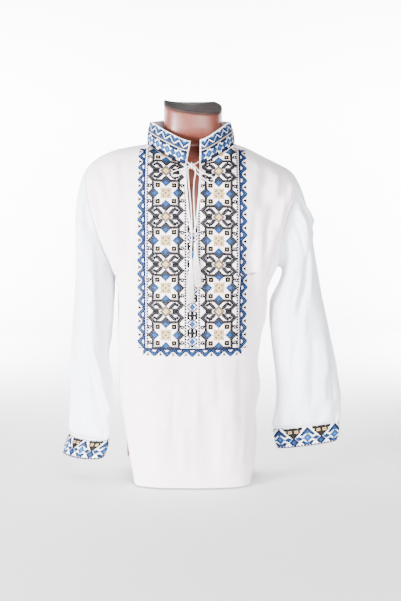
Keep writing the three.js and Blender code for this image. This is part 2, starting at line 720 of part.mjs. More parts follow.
// ------------------------------------------------------------------ slit bindings
/** Binding as a grid over the panel's edge along the slit; its outer side is what is given. */
function bindingGrid(half, normals, side) {
  const { points } = half;
  const first = points.length - 1 - ARMHOLE_ROWS;
  const outer = (row, column) => {
    const point = points[first + row][column];
    return point.clone().addScaledVector(normals.get(keyOf(point)), BINDING.clear + BINDING.thick);
  };
  const between = (row, column) => {
    const low = Math.floor(row);
    const high = Math.min(low + 1, ARMHOLE_ROWS);
    return outer(low, column).lerp(outer(high, column), row - low);
  };
  const grid = BINDING.rows.map((row) => {
    const edge = between(row, 0);
    const next = between(row, 1);
    const width = BINDING.width / edge.distanceTo(next);
    return [edge.clone().lerp(next, 0.02), edge.clone().lerp(next, width)];
  });
  return { points: grid, closed: false, flip: side === 'right' };
}

// ------------------------------------------------------------------ cords, knot and tassels
/** Round cord along its route. */
function cordGeometry(side) {
  const path = new THREE.CatmullRomCurve3(
    CORDS[side].map(({ x, y, z }) => vec(x, y, z)),
    false,
    'centripetal',
  );
  const section = new THREE.Shape(
    Array.from({ length: CORD_SIDES }, (_, i) => {
      const angle = 2 * Math.PI * i / CORD_SIDES;
      return new THREE.Vector2(Math.cos(angle), Math.sin(angle)).multiplyScalar(CORD / 2);
    }),
  );
  return new THREE.ExtrudeGeometry(section, { steps: CORD_STEPS[side], extrudePath: path });
}

/** Turn of cord round the four strands of the bow. */
function knotGeometry() {
  const ring = new THREE.TorusGeometry(KNOT.radius, KNOT.section, 6, 14);
  ring.rotateY(Math.PI / 2);
  ring.translate(KNOT.x, KNOT.y, KNOT.z);
  return ring;
}

/** Ring of a strand or head: a small polygon, level, counter-clockwise from above. */
function polygon(middle, radius, sides, turn) {
  return Array.from({ length: sides }, (_, i) => {
    const angle = turn + 2 * Math.PI * i / sides;
    return middle.clone().add(vec(radius * Math.cos(angle), radius * Math.sin(angle), 0));
  });
}

/** Tassel: a bound head with strands that spread out under it. */
function tasselGeometry(side) {
  const place = TASSELS[side];
  const long = place.z - place.endZ;
  const spineAt = (s) => {
    const x = place.x + (place.endX - place.x) * s * s;
    const z = place.z - long * s;
    return vec(x, frontDepth(x, z) - TASSEL.lift, z);
  };
  const headShare = TASSEL.headHigh / long;
  const head = loft([
    polygon(spineAt(headShare), TASSEL.head * 0.9, 10, 0),
    polygon(spineAt(headShare * 0.6), TASSEL.head, 10, 0),
    polygon(spineAt(headShare * 0.25), TASSEL.head * 0.8, 10, 0),
    polygon(spineAt(0), TASSEL.head * 0.3, 10, 0),
  ]);
  const strands = Array.from({ length: TASSEL.strands }, (_, i) => {
    const from = Math.sqrt((i + 0.5) / TASSEL.strands);
    const angle = i * Math.PI * (3 - Math.sqrt(5));
    const shorter = 1 - 0.07 * ((i * 7) % 5) / 4;
    const ring = (s, radius) => {
      const open = smooth((s - headShare * 0.5) * 1.6);
      const wide = TASSEL.head * 0.72 + (TASSEL.wide - TASSEL.head * 0.72) * open;
      const deep = TASSEL.head * 0.72 + (TASSEL.deep - TASSEL.head * 0.72) * open;
      const middle = spineAt(s).add(vec(wide * from * Math.cos(angle), deep * from * Math.sin(angle), 0));
      return polygon(middle, radius, 3, angle);
    };
    return loft([
      ring(shorter, TASSEL.strand * 0.7),
      ring(0.62, TASSEL.strand),
      ring(0.34, TASSEL.strand),
      ring(headShare * 0.7, TASSEL.strand),
    ]);
  });
  return union([head, ...strands]);
}

// ------------------------------------------------------------------ torso form and neck cap
/** Height of the neck's cut: level behind, sloped towards the front and the left. */
const cutHeight = (x, y) => Math.min(
  NECK_TOP,
  NECK_CUT.middle + NECK_CUT.across * x + NECK_CUT.deep * (y - FORM_MIDDLE),
);

/** Ring of the form, from the front round the left side; the neck's rings bend towards the cut. */
function formRing(level, drop) {
  const half = read(FORM, 'z', level, 'half');
  const front = FORM_MIDDLE - read(FORM, 'z', level, 'front');
  const back = read(FORM, 'z', level, 'back') - FORM_MIDDLE;
  return Array.from({ length: FORM_SIDES }, (_, i) => {
    const angle = 2 * Math.PI * i / FORM_SIDES - Math.PI / 2;
    const bend = (value) => Math.sign(value) * Math.abs(value) ** (2 / FORM_ROUND);
    const reach = Math.sin(angle);
    const x = half * bend(Math.cos(angle));
    const y = FORM_MIDDLE + bend(reach) * (reach < 0 ? front : back);
    const up = Math.max(level - NECK_BASE, 0) / (NECK_TOP - NECK_BASE);
    const z = Math.min(level, NECK_BASE) + up * (cutHeight(x, y) - drop - NECK_BASE);
    return vec(x, y, z);
  });
}

const formGeometry = () => loft(FORM.map(({ z }) => formRing(z, CAP_THICK + SEAM)));
const capGeometry = () => loft([formRing(NECK_TOP, CAP_THICK), formRing(NECK_TOP, 0)]);

// ------------------------------------------------------------------ the garment on its form
const sleeves = SIDES.map(sleeveGrid);
const cuffs = SIDES.map(cuffGrid);
const skins = {
  front_panel: frontHalves.flatMap(triangles),
  back_panel: backHalves.flatMap(triangles),
  sleeve_right: triangles(sleeves[0]),
  sleeve_left: triangles(sleeves[1]),
  cuff_right: triangles(cuffs[0]),
  cuff_left: triangles(cuffs[1]),
  collar: triangles(collarGrid()),
};
const normals = sharedNormals(Object.values(skins));

const shirt = new THREE.Group();
function add(name, geometry, look) {
  const mesh = new THREE.Mesh(geometry, new THREE.MeshStandardMaterial({ ...look, metalness: 0 }));
  mesh.name = name;
  shirt.add(mesh);
}

add('torso_form', formGeometry(), COLOURS.form);
add('neck_cap', capGeometry(), COLOURS.cap);
Object.entries(skins).forEach(([name, faces]) => {
  const stiff = name.startsWith('cuff') || name === 'collar';
  const geometry = stiff ? wall(faces, normals, BAND, SEAM) : wall(faces, normals, CLOTH);
  add(name, geometry, stiff ? COLOURS.band : COLOURS.linen);
});
SIDES.forEach((side, i) => {
  const faces = triangles(bindingGrid(frontHalves[i], normals, side));
  const own = sharedNormals([faces]);
  add(`slit_binding_${side}`, wall(faces, own, BINDING.thick), COLOURS.linen);
  add(`tie_cord_${side}`, cordGeometry(side), COLOURS.cord);
  add(`tassel_${side}`, tasselGeometry(side), COLOURS.cord);
});
add('tie_knot', knotGeometry(), COLOURS.cord);

export default shirt;
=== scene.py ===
"""Folk shirt on a torso form: an add-on with one operator for each piece or group of like pieces.

Lengths are millimetres, in the frame's axes: +X is the wearer's left, -Y the front and +Z up.
The meshes are turned into metres where they are made, in linked. The noises' cells, the camera and
the lights are in metres, as their own comments say.
"""

import bpy
import numpy as np
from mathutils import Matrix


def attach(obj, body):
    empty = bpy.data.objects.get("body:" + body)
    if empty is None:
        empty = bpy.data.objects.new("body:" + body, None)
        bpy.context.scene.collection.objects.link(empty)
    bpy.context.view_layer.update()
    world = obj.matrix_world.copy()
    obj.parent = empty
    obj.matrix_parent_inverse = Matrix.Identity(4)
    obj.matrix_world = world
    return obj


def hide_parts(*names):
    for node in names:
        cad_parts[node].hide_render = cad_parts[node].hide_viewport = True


bl_info = {
    "name": "Folk shirt",
    "version": (1, 0, 0),
    "blender": (4, 5, 0),
    "location": "View3D > Sidebar > Folk shirt",
    "description": "Builds an embroidered linen folk shirt on a torso form",
    "category": "Object",
}

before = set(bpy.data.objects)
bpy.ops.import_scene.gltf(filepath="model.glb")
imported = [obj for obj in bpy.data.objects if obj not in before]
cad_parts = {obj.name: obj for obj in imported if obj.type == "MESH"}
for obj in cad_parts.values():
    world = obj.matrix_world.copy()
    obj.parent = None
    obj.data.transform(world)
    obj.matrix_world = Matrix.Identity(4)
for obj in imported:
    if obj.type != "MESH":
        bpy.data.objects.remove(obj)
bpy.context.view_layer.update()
BODY = "root"
MM = 0.001
SIDES = ("right", "left")
SIGN = {"right": -1, "left": 1}
TINY = 1e-9                      # least length that anything is divided by
ROUNDING = 1e-6                  # slack for cells that lie right at a stroke's reach


# ------------------------------------------------------------------ tables
def table(names, rows):
    """Columns of numbers by name."""
    return dict(zip(names.split(), np.array(rows, dtype=float).T))


CLOTH = 1.0                      # linen as it looks at an edge
BAND = 2.0                       # two layers of linen with stitches
ARMPIT = 455                     # height of the armpits
CHEST_HALF = 170                 # half width of the panels about there
ARMPIT_LIFT = {"right": 0, "left": 15}
NECK = {"right": 103, "left": 95}   # half width of the neckline
TIP = {"right": 236, "left": 236}   # how far out the shoulder seams end
NECKLINE = {"front": 703, "side": 748, "back": 758}
VENT = 150                       # top of the side vents
ARMHOLE_DEPTH = 62               # how far the armholes reach forwards and back
SLIT_ROW = 6                     # grid row over the armpits where the slit starts
SLIT_HALF = 14                   # its half width at the neckline
NECK_COLUMNS = 5                 # grid columns from the middle to the neckline's end
COLUMNS = 11                     # and to the side edge
ARMHOLE_ROWS = 14
PLAN = 2.6                       # powers of the superellipses: a panel seen from above,
CHEST = 4                        # its middle seen from the side,
NECK_ROUND = 2.2                 # and the neckline
HEM_CORNER = 4                   # powers by which the hem's corners drop
ARMHOLE_PULL = 6                 # and the armholes draw the panels in depth
ARMPIT_SOFT = 15                 # reach of the soft turn in depth at the armpits

SHOULDER = {
    "right": table("x z", [(103, 748), (145, 741), (177, 734), (207, 721), (226, 708), (236, 699)]),
    "left": table("x z", [
        (95, 748), (123, 738), (152, 723), (184, 707), (213, 692), (227, 680), (236, 667),
    ]),
}
ARMHOLE = {
    "right": table("t x", [(0, 172), (0.2, 197), (0.4, 214), (0.65, 230), (0.87, 238), (1, 236)]),
    "left": table("t x", [(0, 190), (0.25, 196), (0.48, 207), (0.73, 225), (1, 236)]),
}
BODY_LEVELS = (40, 80, 115, 150, 190, 235, 285, 335, 380, 420)
HEM_ROWS = len(BODY_LEVELS) + 1   # grid row of the armpits
TOP_ROW = HEM_ROWS + ARMHOLE_ROWS
FRONT = {
    "sign": -1, "slit": True, "neck": -80, "hem": {"middle": 3, "right": 3, "left": 3},
    "levels": table("z right left edge middle", [
        (3, 127, 124, -78, -117), (50, 138, 137, -55, -118), (110, 151, 143, -22, -118),
        (150, 158, 142, 0, -118), (203, 166, 152, 0, -118), (251, 167, 147, 0, -117),
        (300, 169, 152, 0, -115), (352, 170, 160, 0, -115), (391, 170, 165, 0, -117),
        (426, 171, 171, 0, -119), (470, 172, 190, 0, -120),
    ]),
}
BACK = {
    "sign": 1, "slit": False, "neck": 66, "hem": {"middle": 6, "right": 34, "left": 6},
    "levels": table("z right left edge middle", [
        (6, 148, 138, 9, 100), (60, 150, 141, 7, 100), (110, 151, 143, 4, 101),
        (150, 158, 142, 0, 102), (203, 166, 152, 0, 103), (251, 167, 147, 0, 104),
        (300, 169, 152, 0, 105), (352, 170, 160, 0, 106), (391, 170, 165, 0, 107),
        (426, 171, 171, 0, 108), (470, 172, 190, 0, 108),
    ]),
}

# Folds and creases of the panels, from (x1, z1) to (x2, z2): half width and height, negative in.
FOLD = "x1 z1 x2 z2 width height"
PANEL_FOLDS = {
    "front": table(FOLD, [
        (-186, 668, -158, 430, 12, 7), (-205, 665, -190, 500, 10, -7), (-150, 470, -146, 210, 13, 5),
        (-112, 190, -44, 290, 12, 5), (-128, 300, -120, 60, 12, -4), (-60, 210, -64, 8, 15, 4),
        (30, 215, 36, 5, 14, -4), (92, 250, 80, 4, 15, 5), (122, 545, 140, 320, 11, -8),
        (150, 470, 157, 300, 10, 5), (157, 700, 150, 590, 10, -7), (178, 640, 172, 545, 10, -6),
        (190, 620, 160, 470, 9, 6),
    ]),
    "back": table(FOLD, [
        (-188, 650, -150, 440, 12, -6), (-160, 640, -120, 330, 13, 6), (-80, 560, -60, 200, 16, -6),
        (-30, 700, -22, 380, 15, 4), (-110, 250, -96, 10, 14, 5), (-10, 240, 4, 8, 15, -5),
        (40, 620, 66, 250, 15, 6), (84, 260, 74, 10, 14, 5), (120, 600, 130, 350, 12, -6),
        (180, 650, 150, 450, 12, 6),
    ]),
}
PANEL_CREASES = {
    "front": table(FOLD, [
        (-215, 690, -186, 590, 5, 2.6), (-199, 700, -176, 600, 4, -2), (-172, 716, -160, 610, 6, 2.2),
        (-205, 604, -172, 520, 5, 2.4), (-196, 548, -160, 452, 4.5, 3), (-182, 520, -150, 420, 4, -2.4),
        (-176, 500, -158, 382, 5, 2.2), (-168, 452, -164, 330, 4, -2.6), (-160, 404, -150, 268, 5, 1.8),
        (-150, 330, -158, 214, 4.5, -1.8), (-152, 246, -138, 120, 5, 2), (-136, 210, -128, 70, 5, -1.6),
        (-110, 262, -40, 318, 6, -1.8), (-126, 150, -58, 226, 6, 1.6), (-86, 176, -70, 20, 6, 1.6),
        (-40, 236, -46, 96, 5, -1.3), (-22, 150, -18, 12, 7, 1.5), (4, 262, 10, 130, 6, 1.2),
        (50, 282, 58, 168, 5, -1.3), (64, 170, 54, 16, 6, 1.6), (104, 300, 98, 128, 6, -1.7),
        (116, 196, 104, 30, 5, 1.8), (132, 330, 124, 190, 5, 1.7), (150, 300, 132, 196, 4.5, -1.6),
        (166, 420, 150, 330, 4.5, 2.2), (182, 500, 152, 372, 4.5, -2.4), (128, 470, 118, 380, 5, 2.2),
        (138, 610, 128, 500, 5, -2.4), (150, 560, 142, 450, 4.5, 2.4), (168, 592, 154, 500, 4, -2),
        (204, 640, 184, 540, 4.5, 2.6), (214, 622, 196, 528, 4, -3), (188, 690, 178, 606, 5, 2.2),
        (140, 716, 146, 640, 6, 1.8), (222, 668, 206, 604, 4, 2), (-140, 620, -134, 470, 6, -1.5),
        (-134, 560, -130, 400, 5, 1.3), (-118, 726, -126, 640, 7, -1.3),
    ]),
    "back": table(FOLD, [
        (-214, 668, -184, 560, 5, 2.4), (-196, 610, -160, 500, 5, -2.2), (-176, 560, -150, 430, 4.5, 2.4),
        (-168, 480, -160, 340, 4.5, -2.2), (-150, 420, -142, 280, 5, 2), (-140, 300, -132, 130, 5, -1.8),
        (-120, 560, -104, 420, 6, 1.8), (-100, 440, -84, 300, 5.5, -1.7), (-76, 300, -70, 120, 6, 1.8),
        (-52, 640, -48, 500, 6, -1.6), (-40, 380, -30, 240, 6, 1.6), (-34, 160, -30, 14, 6, 1.5),
        (0, 690, 6, 560, 7, 1.5), (14, 520, 20, 360, 6, -1.6), (26, 330, 30, 190, 6, 1.6),
        (46, 170, 40, 12, 6, -1.5), (74, 660, 88, 520, 6, 1.8), (92, 500, 100, 380, 5.5, -1.9),
        (108, 380, 104, 220, 5.5, 1.8), (116, 200, 106, 40, 5, -1.6), (150, 620, 140, 500, 5, 2.2),
        (146, 470, 138, 340, 5, -2), (140, 300, 132, 170, 5, 1.8), (176, 560, 152, 440, 4.5, 2.4),
        (200, 640, 180, 540, 4.5, -2.4), (212, 616, 196, 540, 4, 2.2), (-206, 590, -190, 520, 4, -1.8),
    ]),
}

RING = "z x y width deep turn slope"
RINGS = {
    "right": table(RING, [
        (86, 235, 6, 48.5, 70, -42, -0.08), (137, 233, 5, 53, 71, -39, -0.04),
        (190, 232.8, 4, 51.2, 72, -32, 0), (235, 233.5, 4, 48.5, 74, -24, 0),
        (280, 234.4, 4, 44.8, 76, -16, 0), (326, 230.6, 4, 44.6, 78, -8, 0),
        (371, 226.2, 4, 45.8, 79, -3, 0), (416, 223, 4, 46, 80, 0, 0),
    ]),
    "left": table(RING, [
        (110.5, 257, 0, 74, 15, 0, 0.11), (128, 258, 0, 74.5, 23, 0, 0.08),
        (174, 262.3, 0, 73.3, 36, 0, 0.03), (219, 258.7, 0, 70.7, 47, 0, 0),
        (257, 253, 1, 70, 56, 0, 0), (300, 245.8, 1, 67.8, 66, 0, 0),
        (348, 240, 2, 65, 74, 0, 0), (384, 237, 2, 60.5, 80, 0, 0),
    ]),
}
CUFF_END = {
    "right": table(RING, [(42, 251, 6, 51.5, 71, -42, -0.1)]),
    "left": table(RING, [(66.5, 259, 0, 67, 16, 0, 0.13)]),
}
CUFF_BULGE = 3
CAP_ROWS = 6                     # grid rows from the armhole to the highest ring
RING_ROWS = 11                   # and from there to the cuff's seam
SLEEVE_END = CAP_ROWS + RING_ROWS
ROUND = 28                       # grid columns round a sleeve
# Sleeve's cap: how far the curve leaves the armhole outwards and down, at the armpit and on top.
CAP = {
    "right": {"out": (0.5, 0.42), "down": (0.4, 0.5)},
    "left": {"out": (1.15, 0.3), "down": (0, 0.55)},
}
CAP_STEP = 30                    # height over which the rings' run is taken for the curve's end
CAP_BULGE = 0.12                 # how far it leaves to the front and back
CAP_ARRIVE = 0.9                 # how strongly it arrives
RING_POWER = 1.25                # how much closer the rings' rows lie near the cuff

# Folds and creases of the sleeves, from (turn1, z1) to (turn2, z2); 0 degrees is the outer side,
# 90 the front, 180 the side towards the body and 270 the back.
TURN_ASPECT = 1.1
SLEEVE_FOLDS = {
    "right": table(FOLD, [
        (150, 560, 118, 330, 11, -6), (118, 600, 84, 300, 12, 6), (100, 215, 135, 120, 12, 6),
        (70, 240, 60, 110, 12, -5), (30, 600, 20, 240, 13, -4), (215, 520, 240, 220, 13, -6),
        (262, 600, 282, 300, 13, 6), (310, 300, 300, 130, 13, -5),
    ]),
    "left": table(FOLD, [
        (66, 520, 100, 340, 10, -10), (98, 350, 150, 150, 10, -9), (104, 540, 132, 330, 11, 7),
        (58, 600, 36, 560, 11, 8), (40, 420, 62, 190, 12, 5), (22, 590, 16, 330, 13, -4),
        (212, 470, 236, 230, 13, -6), (262, 600, 284, 320, 13, 6), (312, 330, 300, 160, 13, -5),
    ]),
}
SLEEVE_CREASES = {
    "right": table(FOLD, [
        (60, 680, 74, 520, 5, 2), (84, 660, 92, 540, 5, -2.2), (106, 640, 112, 500, 4.5, 2.2),
        (126, 560, 132, 420, 4.5, 2.4), (140, 500, 150, 380, 4, -2.4), (76, 520, 70, 380, 5, -1.8),
        (96, 470, 100, 330, 5, 1.8), (58, 420, 62, 280, 5.5, 1.6), (112, 380, 120, 260, 4.5, -2),
        (84, 330, 92, 210, 5, 1.8), (124, 300, 142, 190, 4.5, 2.2), (66, 280, 56, 160, 5, -1.6),
        (96, 240, 118, 150, 4.5, -2.2), (82, 212, 104, 132, 4, 2.2), (40, 300, 34, 170, 5.5, 1.6),
        (44, 560, 40, 420, 6, 1.5), (12, 480, 8, 330, 6, -1.6), (350, 600, 346, 440, 6, 1.6),
        (356, 300, 350, 160, 5.5, 1.7), (160, 420, 168, 260, 5, 2), (196, 460, 204, 300, 5, -2),
        (226, 420, 232, 280, 5, 2.2), (246, 560, 252, 400, 5, -2), (270, 420, 276, 260, 5, 1.8),
        (292, 560, 300, 400, 5.5, -1.7), (322, 420, 330, 260, 5.5, 1.7), (286, 240, 280, 140, 4.5, 2),
        (240, 230, 250, 140, 4.5, -2), (200, 240, 190, 130, 4.5, 2.2),
    ]),
    "left": table(FOLD, [
        (62, 664, 50, 560, 5, -2.4), (80, 640, 66, 540, 4.5, 3), (96, 610, 84, 500, 4.5, -3),
        (46, 620, 30, 520, 5, 2.4), (112, 560, 120, 440, 4.5, 3), (126, 500, 138, 380, 4.5, -3),
        (88, 470, 108, 360, 4, 3.2), (78, 420, 92, 300, 4.5, 2.2), (58, 520, 70, 400, 5, 2),
        (110, 330, 134, 216, 4, 3), (120, 260, 150, 160, 4, 2.6), (70, 330, 84, 214, 5, -2),
        (48, 340, 56, 214, 5.5, 1.8), (94, 280, 104, 176, 5, 1.8), (82, 240, 88, 150, 4.5, -2),
        (62, 250, 66, 156, 4.5, 2), (40, 250, 44, 160, 5, -1.8), (20, 330, 22, 200, 5.5, 1.7),
        (150, 420, 160, 280, 4.5, 2.6), (168, 380, 176, 240, 4.5, -2.4), (0, 560, 356, 420, 6, 1.6),
        (346, 420, 340, 280, 6, -1.6), (330, 600, 322, 460, 5.5, 1.8), (192, 440, 200, 300, 5, 2),
        (222, 400, 230, 260, 5, 2.2), (248, 540, 254, 390, 5, -2), (272, 400, 278, 250, 5, 1.8),
        (296, 540, 302, 390, 5.5, -1.7), (300, 260, 292, 160, 4.5, 2), (240, 240, 250, 160, 4.5, -2),
    ]),
}
# Gathers and small pleats over the cuffs: turn round the arm, height, half width and reach up.
GATHERS = table("turn height width reach", [
    (14, 4.5, 9, 52), (52, 5.5, 9, 76), (90, 4, 9, 44), (128, 6, 9, 66), (167, 4, 9, 50),
    (206, 5, 9, 70), (244, 4.5, 9, 48), (283, 5.5, 9, 64), (322, 4.5, 9, 56),
])
PLEATS = table("turn height width reach", [
    (4, 1.6, 3, 26), (25, 1.9, 3, 38), (38, 1.5, 3, 22), (64, 1.9, 3, 34), (76, 1.4, 3, 24),
    (101, 1.9, 3, 40), (114, 1.6, 3, 26), (140, 1.8, 3, 34), (153, 1.4, 3, 22), (179, 1.7, 3, 30),
    (192, 1.5, 3, 24), (217, 1.9, 3, 38), (230, 1.5, 3, 26), (256, 1.8, 3, 30), (270, 1.4, 3, 22),
    (295, 1.9, 3, 36), (308, 1.5, 3, 26), (334, 1.8, 3, 34), (347, 1.5, 3, 24),
])
GATHER_PEAK = 13                 # height over the cuff's seam where gathers and pleats are full
PLEAT_PEAK = 6

COLLAR = table("w dx dy rise", [
    (0, 9, 4, 51), (0.25, 6, 2, 52), (0.5, 0, -8, 55), (0.75, -11, 2, 52), (1, 1.5, 4, 54),
])
COLLAR_BULGE = 2.5

# Edging of the slit: its width and height, how far it lies over the panel, the panel's rows over
# the armpits and the column along which it runs, and its own steps and sides.
BINDING = {"width": 3.6, "thick": 1.0, "clear": 0.6, "from": 6.3, "to": 13.5, "column": 0.02,
           "steps": 90, "sides": 12}

# Tie cords along the middles of their routes: from the collar's corner through the knot, round
# a loop, back through the knot and down to the tassel.
CORD = 2.4
CORD_TURN = 7                    # length of one turn of its plies
CORD_SIDES = 12
ROUTE_STEP = 0.8
CORDS = {
    "right": np.array([
        (-15.5, -81, 709), (-12.6, -84.4, 704.6), (-8.6, -92, 700), (-4.8, -96, 697.9),
        (-1, -96.6, 697), (2.8, -98.4, 695), (7.4, -101, 690.4), (11.6, -104.6, 684.8), (18, -107.8, 680.2),
        (28, -108.6, 676.4), (38, -109.6, 673), (45, -111, 667), (44.4, -112.4, 660),
        (38.5, -113, 657.6), (31, -112.8, 661.2), (24, -111.8, 666.2), (17, -110.8, 671.4),
        (10.6, -107.8, 677), (5.2, -104.2, 683.2), (1, -99.8, 689.4), (-3.4, -96.8, 693.2),
        (-7.6, -98, 692.4), (-10.4, -101, 688), (-11, -104.6, 681), (-10.4, -108, 672),
        (-9, -112, 656), (-7.4, -115.2, 638), (-5.4, -118, 618), (-3.8, -120.2, 598),
        (-2.8, -122, 578), (-2.4, -122.8, 562), (-2.6, -122.6, 546), (-3.2, -122.2, 526),
        (-3.8, -122.8, 508), (-4.2, -124.2, 497.4),
    ]),
    "left": np.array([
        (15.4, -80.8, 706), (11.6, -87.5, 703), (6.4, -96.5, 700), (1, -100.2, 698), (-4, -100.8, 697),
        (-9, -103, 694.4), (-15, -104.6, 691.4), (-22, -103.8, 688.6), (-30, -104.4, 686.2),
        (-39, -105.8, 683.6), (-45.5, -107.4, 679.4), (-44.2, -109.4, 673.6), (-37, -109.6, 672),
        (-29, -108.8, 675.2), (-21.5, -107.8, 679.8), (-15, -106.6, 684.6), (-9.4, -104.8, 689),
        (-3.6, -101, 692.8), (1.6, -101.8, 691.6), (5, -105.4, 687.2), (5.6, -108.6, 681.4),
        (4.6, -110, 673.6), (3, -111.6, 665), (1.8, -114, 652), (1.4, -116, 636), (2, -118, 616),
        (2.8, -120, 596), (3.6, -122, 578), (4.2, -122.8, 562), (4.8, -122.6, 548),
        (5.3, -123.2, 539), (5.6, -124.4, 531.4),
    ]),
}
KNOT = {"middle": (-3, -98.6, 695.2), "radius": 6.3, "section": 1.2, "steps": 72}
TASSELS = {
    "right": {"x": -4.2, "z": 497, "end_x": -6.5, "end_z": 400},
    "left": {"x": 5.6, "z": 531, "end_x": 12, "end_z": 434},
}
TASSEL = {"strands": 150, "stations": 12, "strand": 0.42, "wide": 7.4, "deep": 3.4, "lift": 4.5,
          "head": 3.5, "head_high": 11, "head_rows": 34, "head_sides": 24, "ribs": 9}
HEAD = table("h reach", [(0, 0.3), (0.12, 0.72), (0.3, 1), (0.62, 1.05), (1.15, 1)])
TASSEL_CORE = (0.12, 0.26, 0.42)  # shares of a tassel's length at which the cord runs on in it

# Torso form, from its foot to the neck: half width, front and back.
FORM_ROUND = 2.5
FORM_MIDDLE = -4
FORM_SIDES = 112
FORM_ANGLES = 2 * np.pi * np.arange(FORM_SIDES) / FORM_SIDES - np.pi / 2
FORM = table("z half front back", [
    (0, 106, -78, 72), (50, 113, -84, 77), (100, 121, -90, 82), (150, 127, -95, 86),
    (200, 131, -97, 86), (260, 128, -93, 80), (320, 128, -91, 76), (380, 136, -97, 82),
    (440, 150, -105, 91), (500, 159, -110, 97), (550, 164, -111, 99), (600, 182, -107, 98),
    (640, 190, -98, 94), (668, 189, -85, 87), (688, 180, -75, 79), (704, 173, -66, 72),
    (716, 157, -58, 68), (727, 136, -49, 64), (736, 109, -38, 60), (743, 83, -33, 57),
    (757, 75, -48, 54), (775, 68, -58, 51), (810, 66, -61, 49), (849, 66, -62, 49),
])
NECK_BASE = 775
NECK_TOP = 849
NECK_CUT = {"middle": 839, "across": -0.11, "deep": 0.383}
CAP_THICK = 6
CAP_EDGE = (                     # rings of the cap's rounded edge: depth under its top and inset
    (CAP_THICK, 0), (CAP_THICK - 1, 0), (1.6, 0), (0.9, 0.12), (0.35, 0.6), (0.05, 1.3), (0, 2.2),
)
SEAM = 0.3

# Relief of the neck: place round it in degrees from the front, height, reach of each, how high.
NECK_RELIEF = table("turn z wide tall height", [
    (0, 800, 16, 60, 1.2), (-46, 812, 24, 50, 1.6), (44, 812, 24, 50, 1.4), (0, 752, 12, 13, -3.4),
    (-27, 758, 12, 16, 1.4), (27, 758, 12, 16, 1.4),
])

# Threads of the embroidery, and what a chart's colours are called; 0 is bare linen.
THREADS = ("bare", "blue", "sky", "navy", "black", "charcoal", "grey", "cream", "taupe")
PITCH = 1.96                     # side of one cross stitch
THREAD_WIDTH = 2.3
DISC, SQUARE, DIAMOND = 0, 1, 2   # how the reach of a stroke is measured


# ------------------------------------------------------------------ curves and surfaces
def smooth(value):
    """Soft step from 0 to 1."""
    value = np.clip(value, 0, 1)
    return value * value * (3 - 2 * value)


def arc(value, power, root):
    """Quarter of a superellipse, 1 at 0 and 0 at 1."""
    return np.maximum(1 - value**power, 0) ** (1 / root)


def read(rows, key, at, column):
    """A smooth curve through a table's column at the given keys, held at both ends."""
    keys, values = rows[key], rows[column]
    if len(keys) == 1:
        return np.full(np.shape(at), values[0])
    at = np.clip(at, keys[0], keys[-1])
    slope = np.gradient(values)
    slope[1:-1] = (values[2:] - values[:-2]) / (keys[2:] - keys[:-2])
    slope[0] = (values[1] - values[0]) / (keys[1] - keys[0])
    slope[-1] = (values[-1] - values[-2]) / (keys[-1] - keys[-2])
    i = np.clip(np.searchsorted(keys, at, side="right") - 1, 0, len(keys) - 2)
    span = keys[i + 1] - keys[i]
    s = (at - keys[i]) / span
    rise = s * s * (3 - 2 * s)
    leave = s * (1 - s) ** 2 * span * slope[i]
    arrive = s * s * (s - 1) * span * slope[i + 1]
    return values[i] * (1 - rise) + values[i + 1] * rise + leave + arrive


def unit(vectors):
    """Vectors of length 1."""
    return vectors / np.maximum(np.linalg.norm(vectors, axis=-1, keepdims=True), TINY)


def lengths(points, axis):
    """Length along a grid's axis, 0 at its start."""
    steps = np.linalg.norm(np.diff(points, axis=axis), axis=-1)
    return np.concatenate([np.zeros_like(np.take(steps, [0], axis)), np.cumsum(steps, axis)], axis)


def grid_normals(points, closed=False, flip=False):
    """Normals of a grid of rows and columns: the cross product of the steps across and up."""
    if closed:
        across = np.roll(points, -1, 1) - np.roll(points, 1, 1)
    else:
        across = np.gradient(points, axis=1)
    normals = unit(np.cross(across, np.gradient(points, axis=0)))
    return -normals if flip else normals


def as_grid(plain, normals, height, row, column, closed, flip):
    """A grid of cloth: plain points moved along their normals, and what its rows and columns are."""
    points = plain + normals * height[..., None]
    return {"points": points, "row": row, "column": column, "closed": closed, "flip": flip}


def fold_height(folds, a, b, aspect=1.0):
    """Sum of ridges along segments, soft across as a bell curve and faded at their ends."""
    height = np.zeros(np.shape(a))
    for x1, z1, x2, z2, width, rise in zip(*folds.values()):
        along = np.array([(x2 - x1) * aspect, z2 - z1])
        length = np.hypot(*along)
        here_a, here_b = (a - x1) * aspect, b - z1
        s = (here_a * along[0] + here_b * along[1]) / length**2
        across = (here_a * along[1] - here_b * along[0]) / length
        fade = smooth(s / 0.3) * smooth((1 - s) / 0.3)
        height += rise * fade * np.exp(-0.5 * (across / width) ** 2)
    return height


def ripple(a, b, scale):
    """Slow uneven swell of hanging cloth: three sums of sines with unlike wavelengths."""
    a, b = a / scale, b / scale
    return (np.sin(0.071 * a + 1.3 * np.sin(0.021 * b)) * 0.45
            + np.sin(0.043 * b + 0.9 * np.sin(0.083 * a)) * 0.3
            + np.sin(0.117 * a - 0.051 * b + 2.0) * 0.25)


# ------------------------------------------------------------------ front and back panels
def armhole_share(row):
    """Share of the way from the armpits, 0, to the top, 1, at a grid row: half a cosine wave."""
    return (1 - np.cos(np.pi * np.clip(row - HEM_ROWS, 0, ARMHOLE_ROWS) / ARMHOLE_ROWS)) / 2


SLIT_FROM = armhole_share(HEM_ROWS + SLIT_ROW)


def slit_half(t):
    """Half width of the neck slit, t = 0 at the armpits and 1 at the neckline."""
    return SLIT_HALF * np.sin(np.pi / 2 * np.maximum((t - SLIT_FROM) / (1 - SLIT_FROM), 0) ** 0.8)


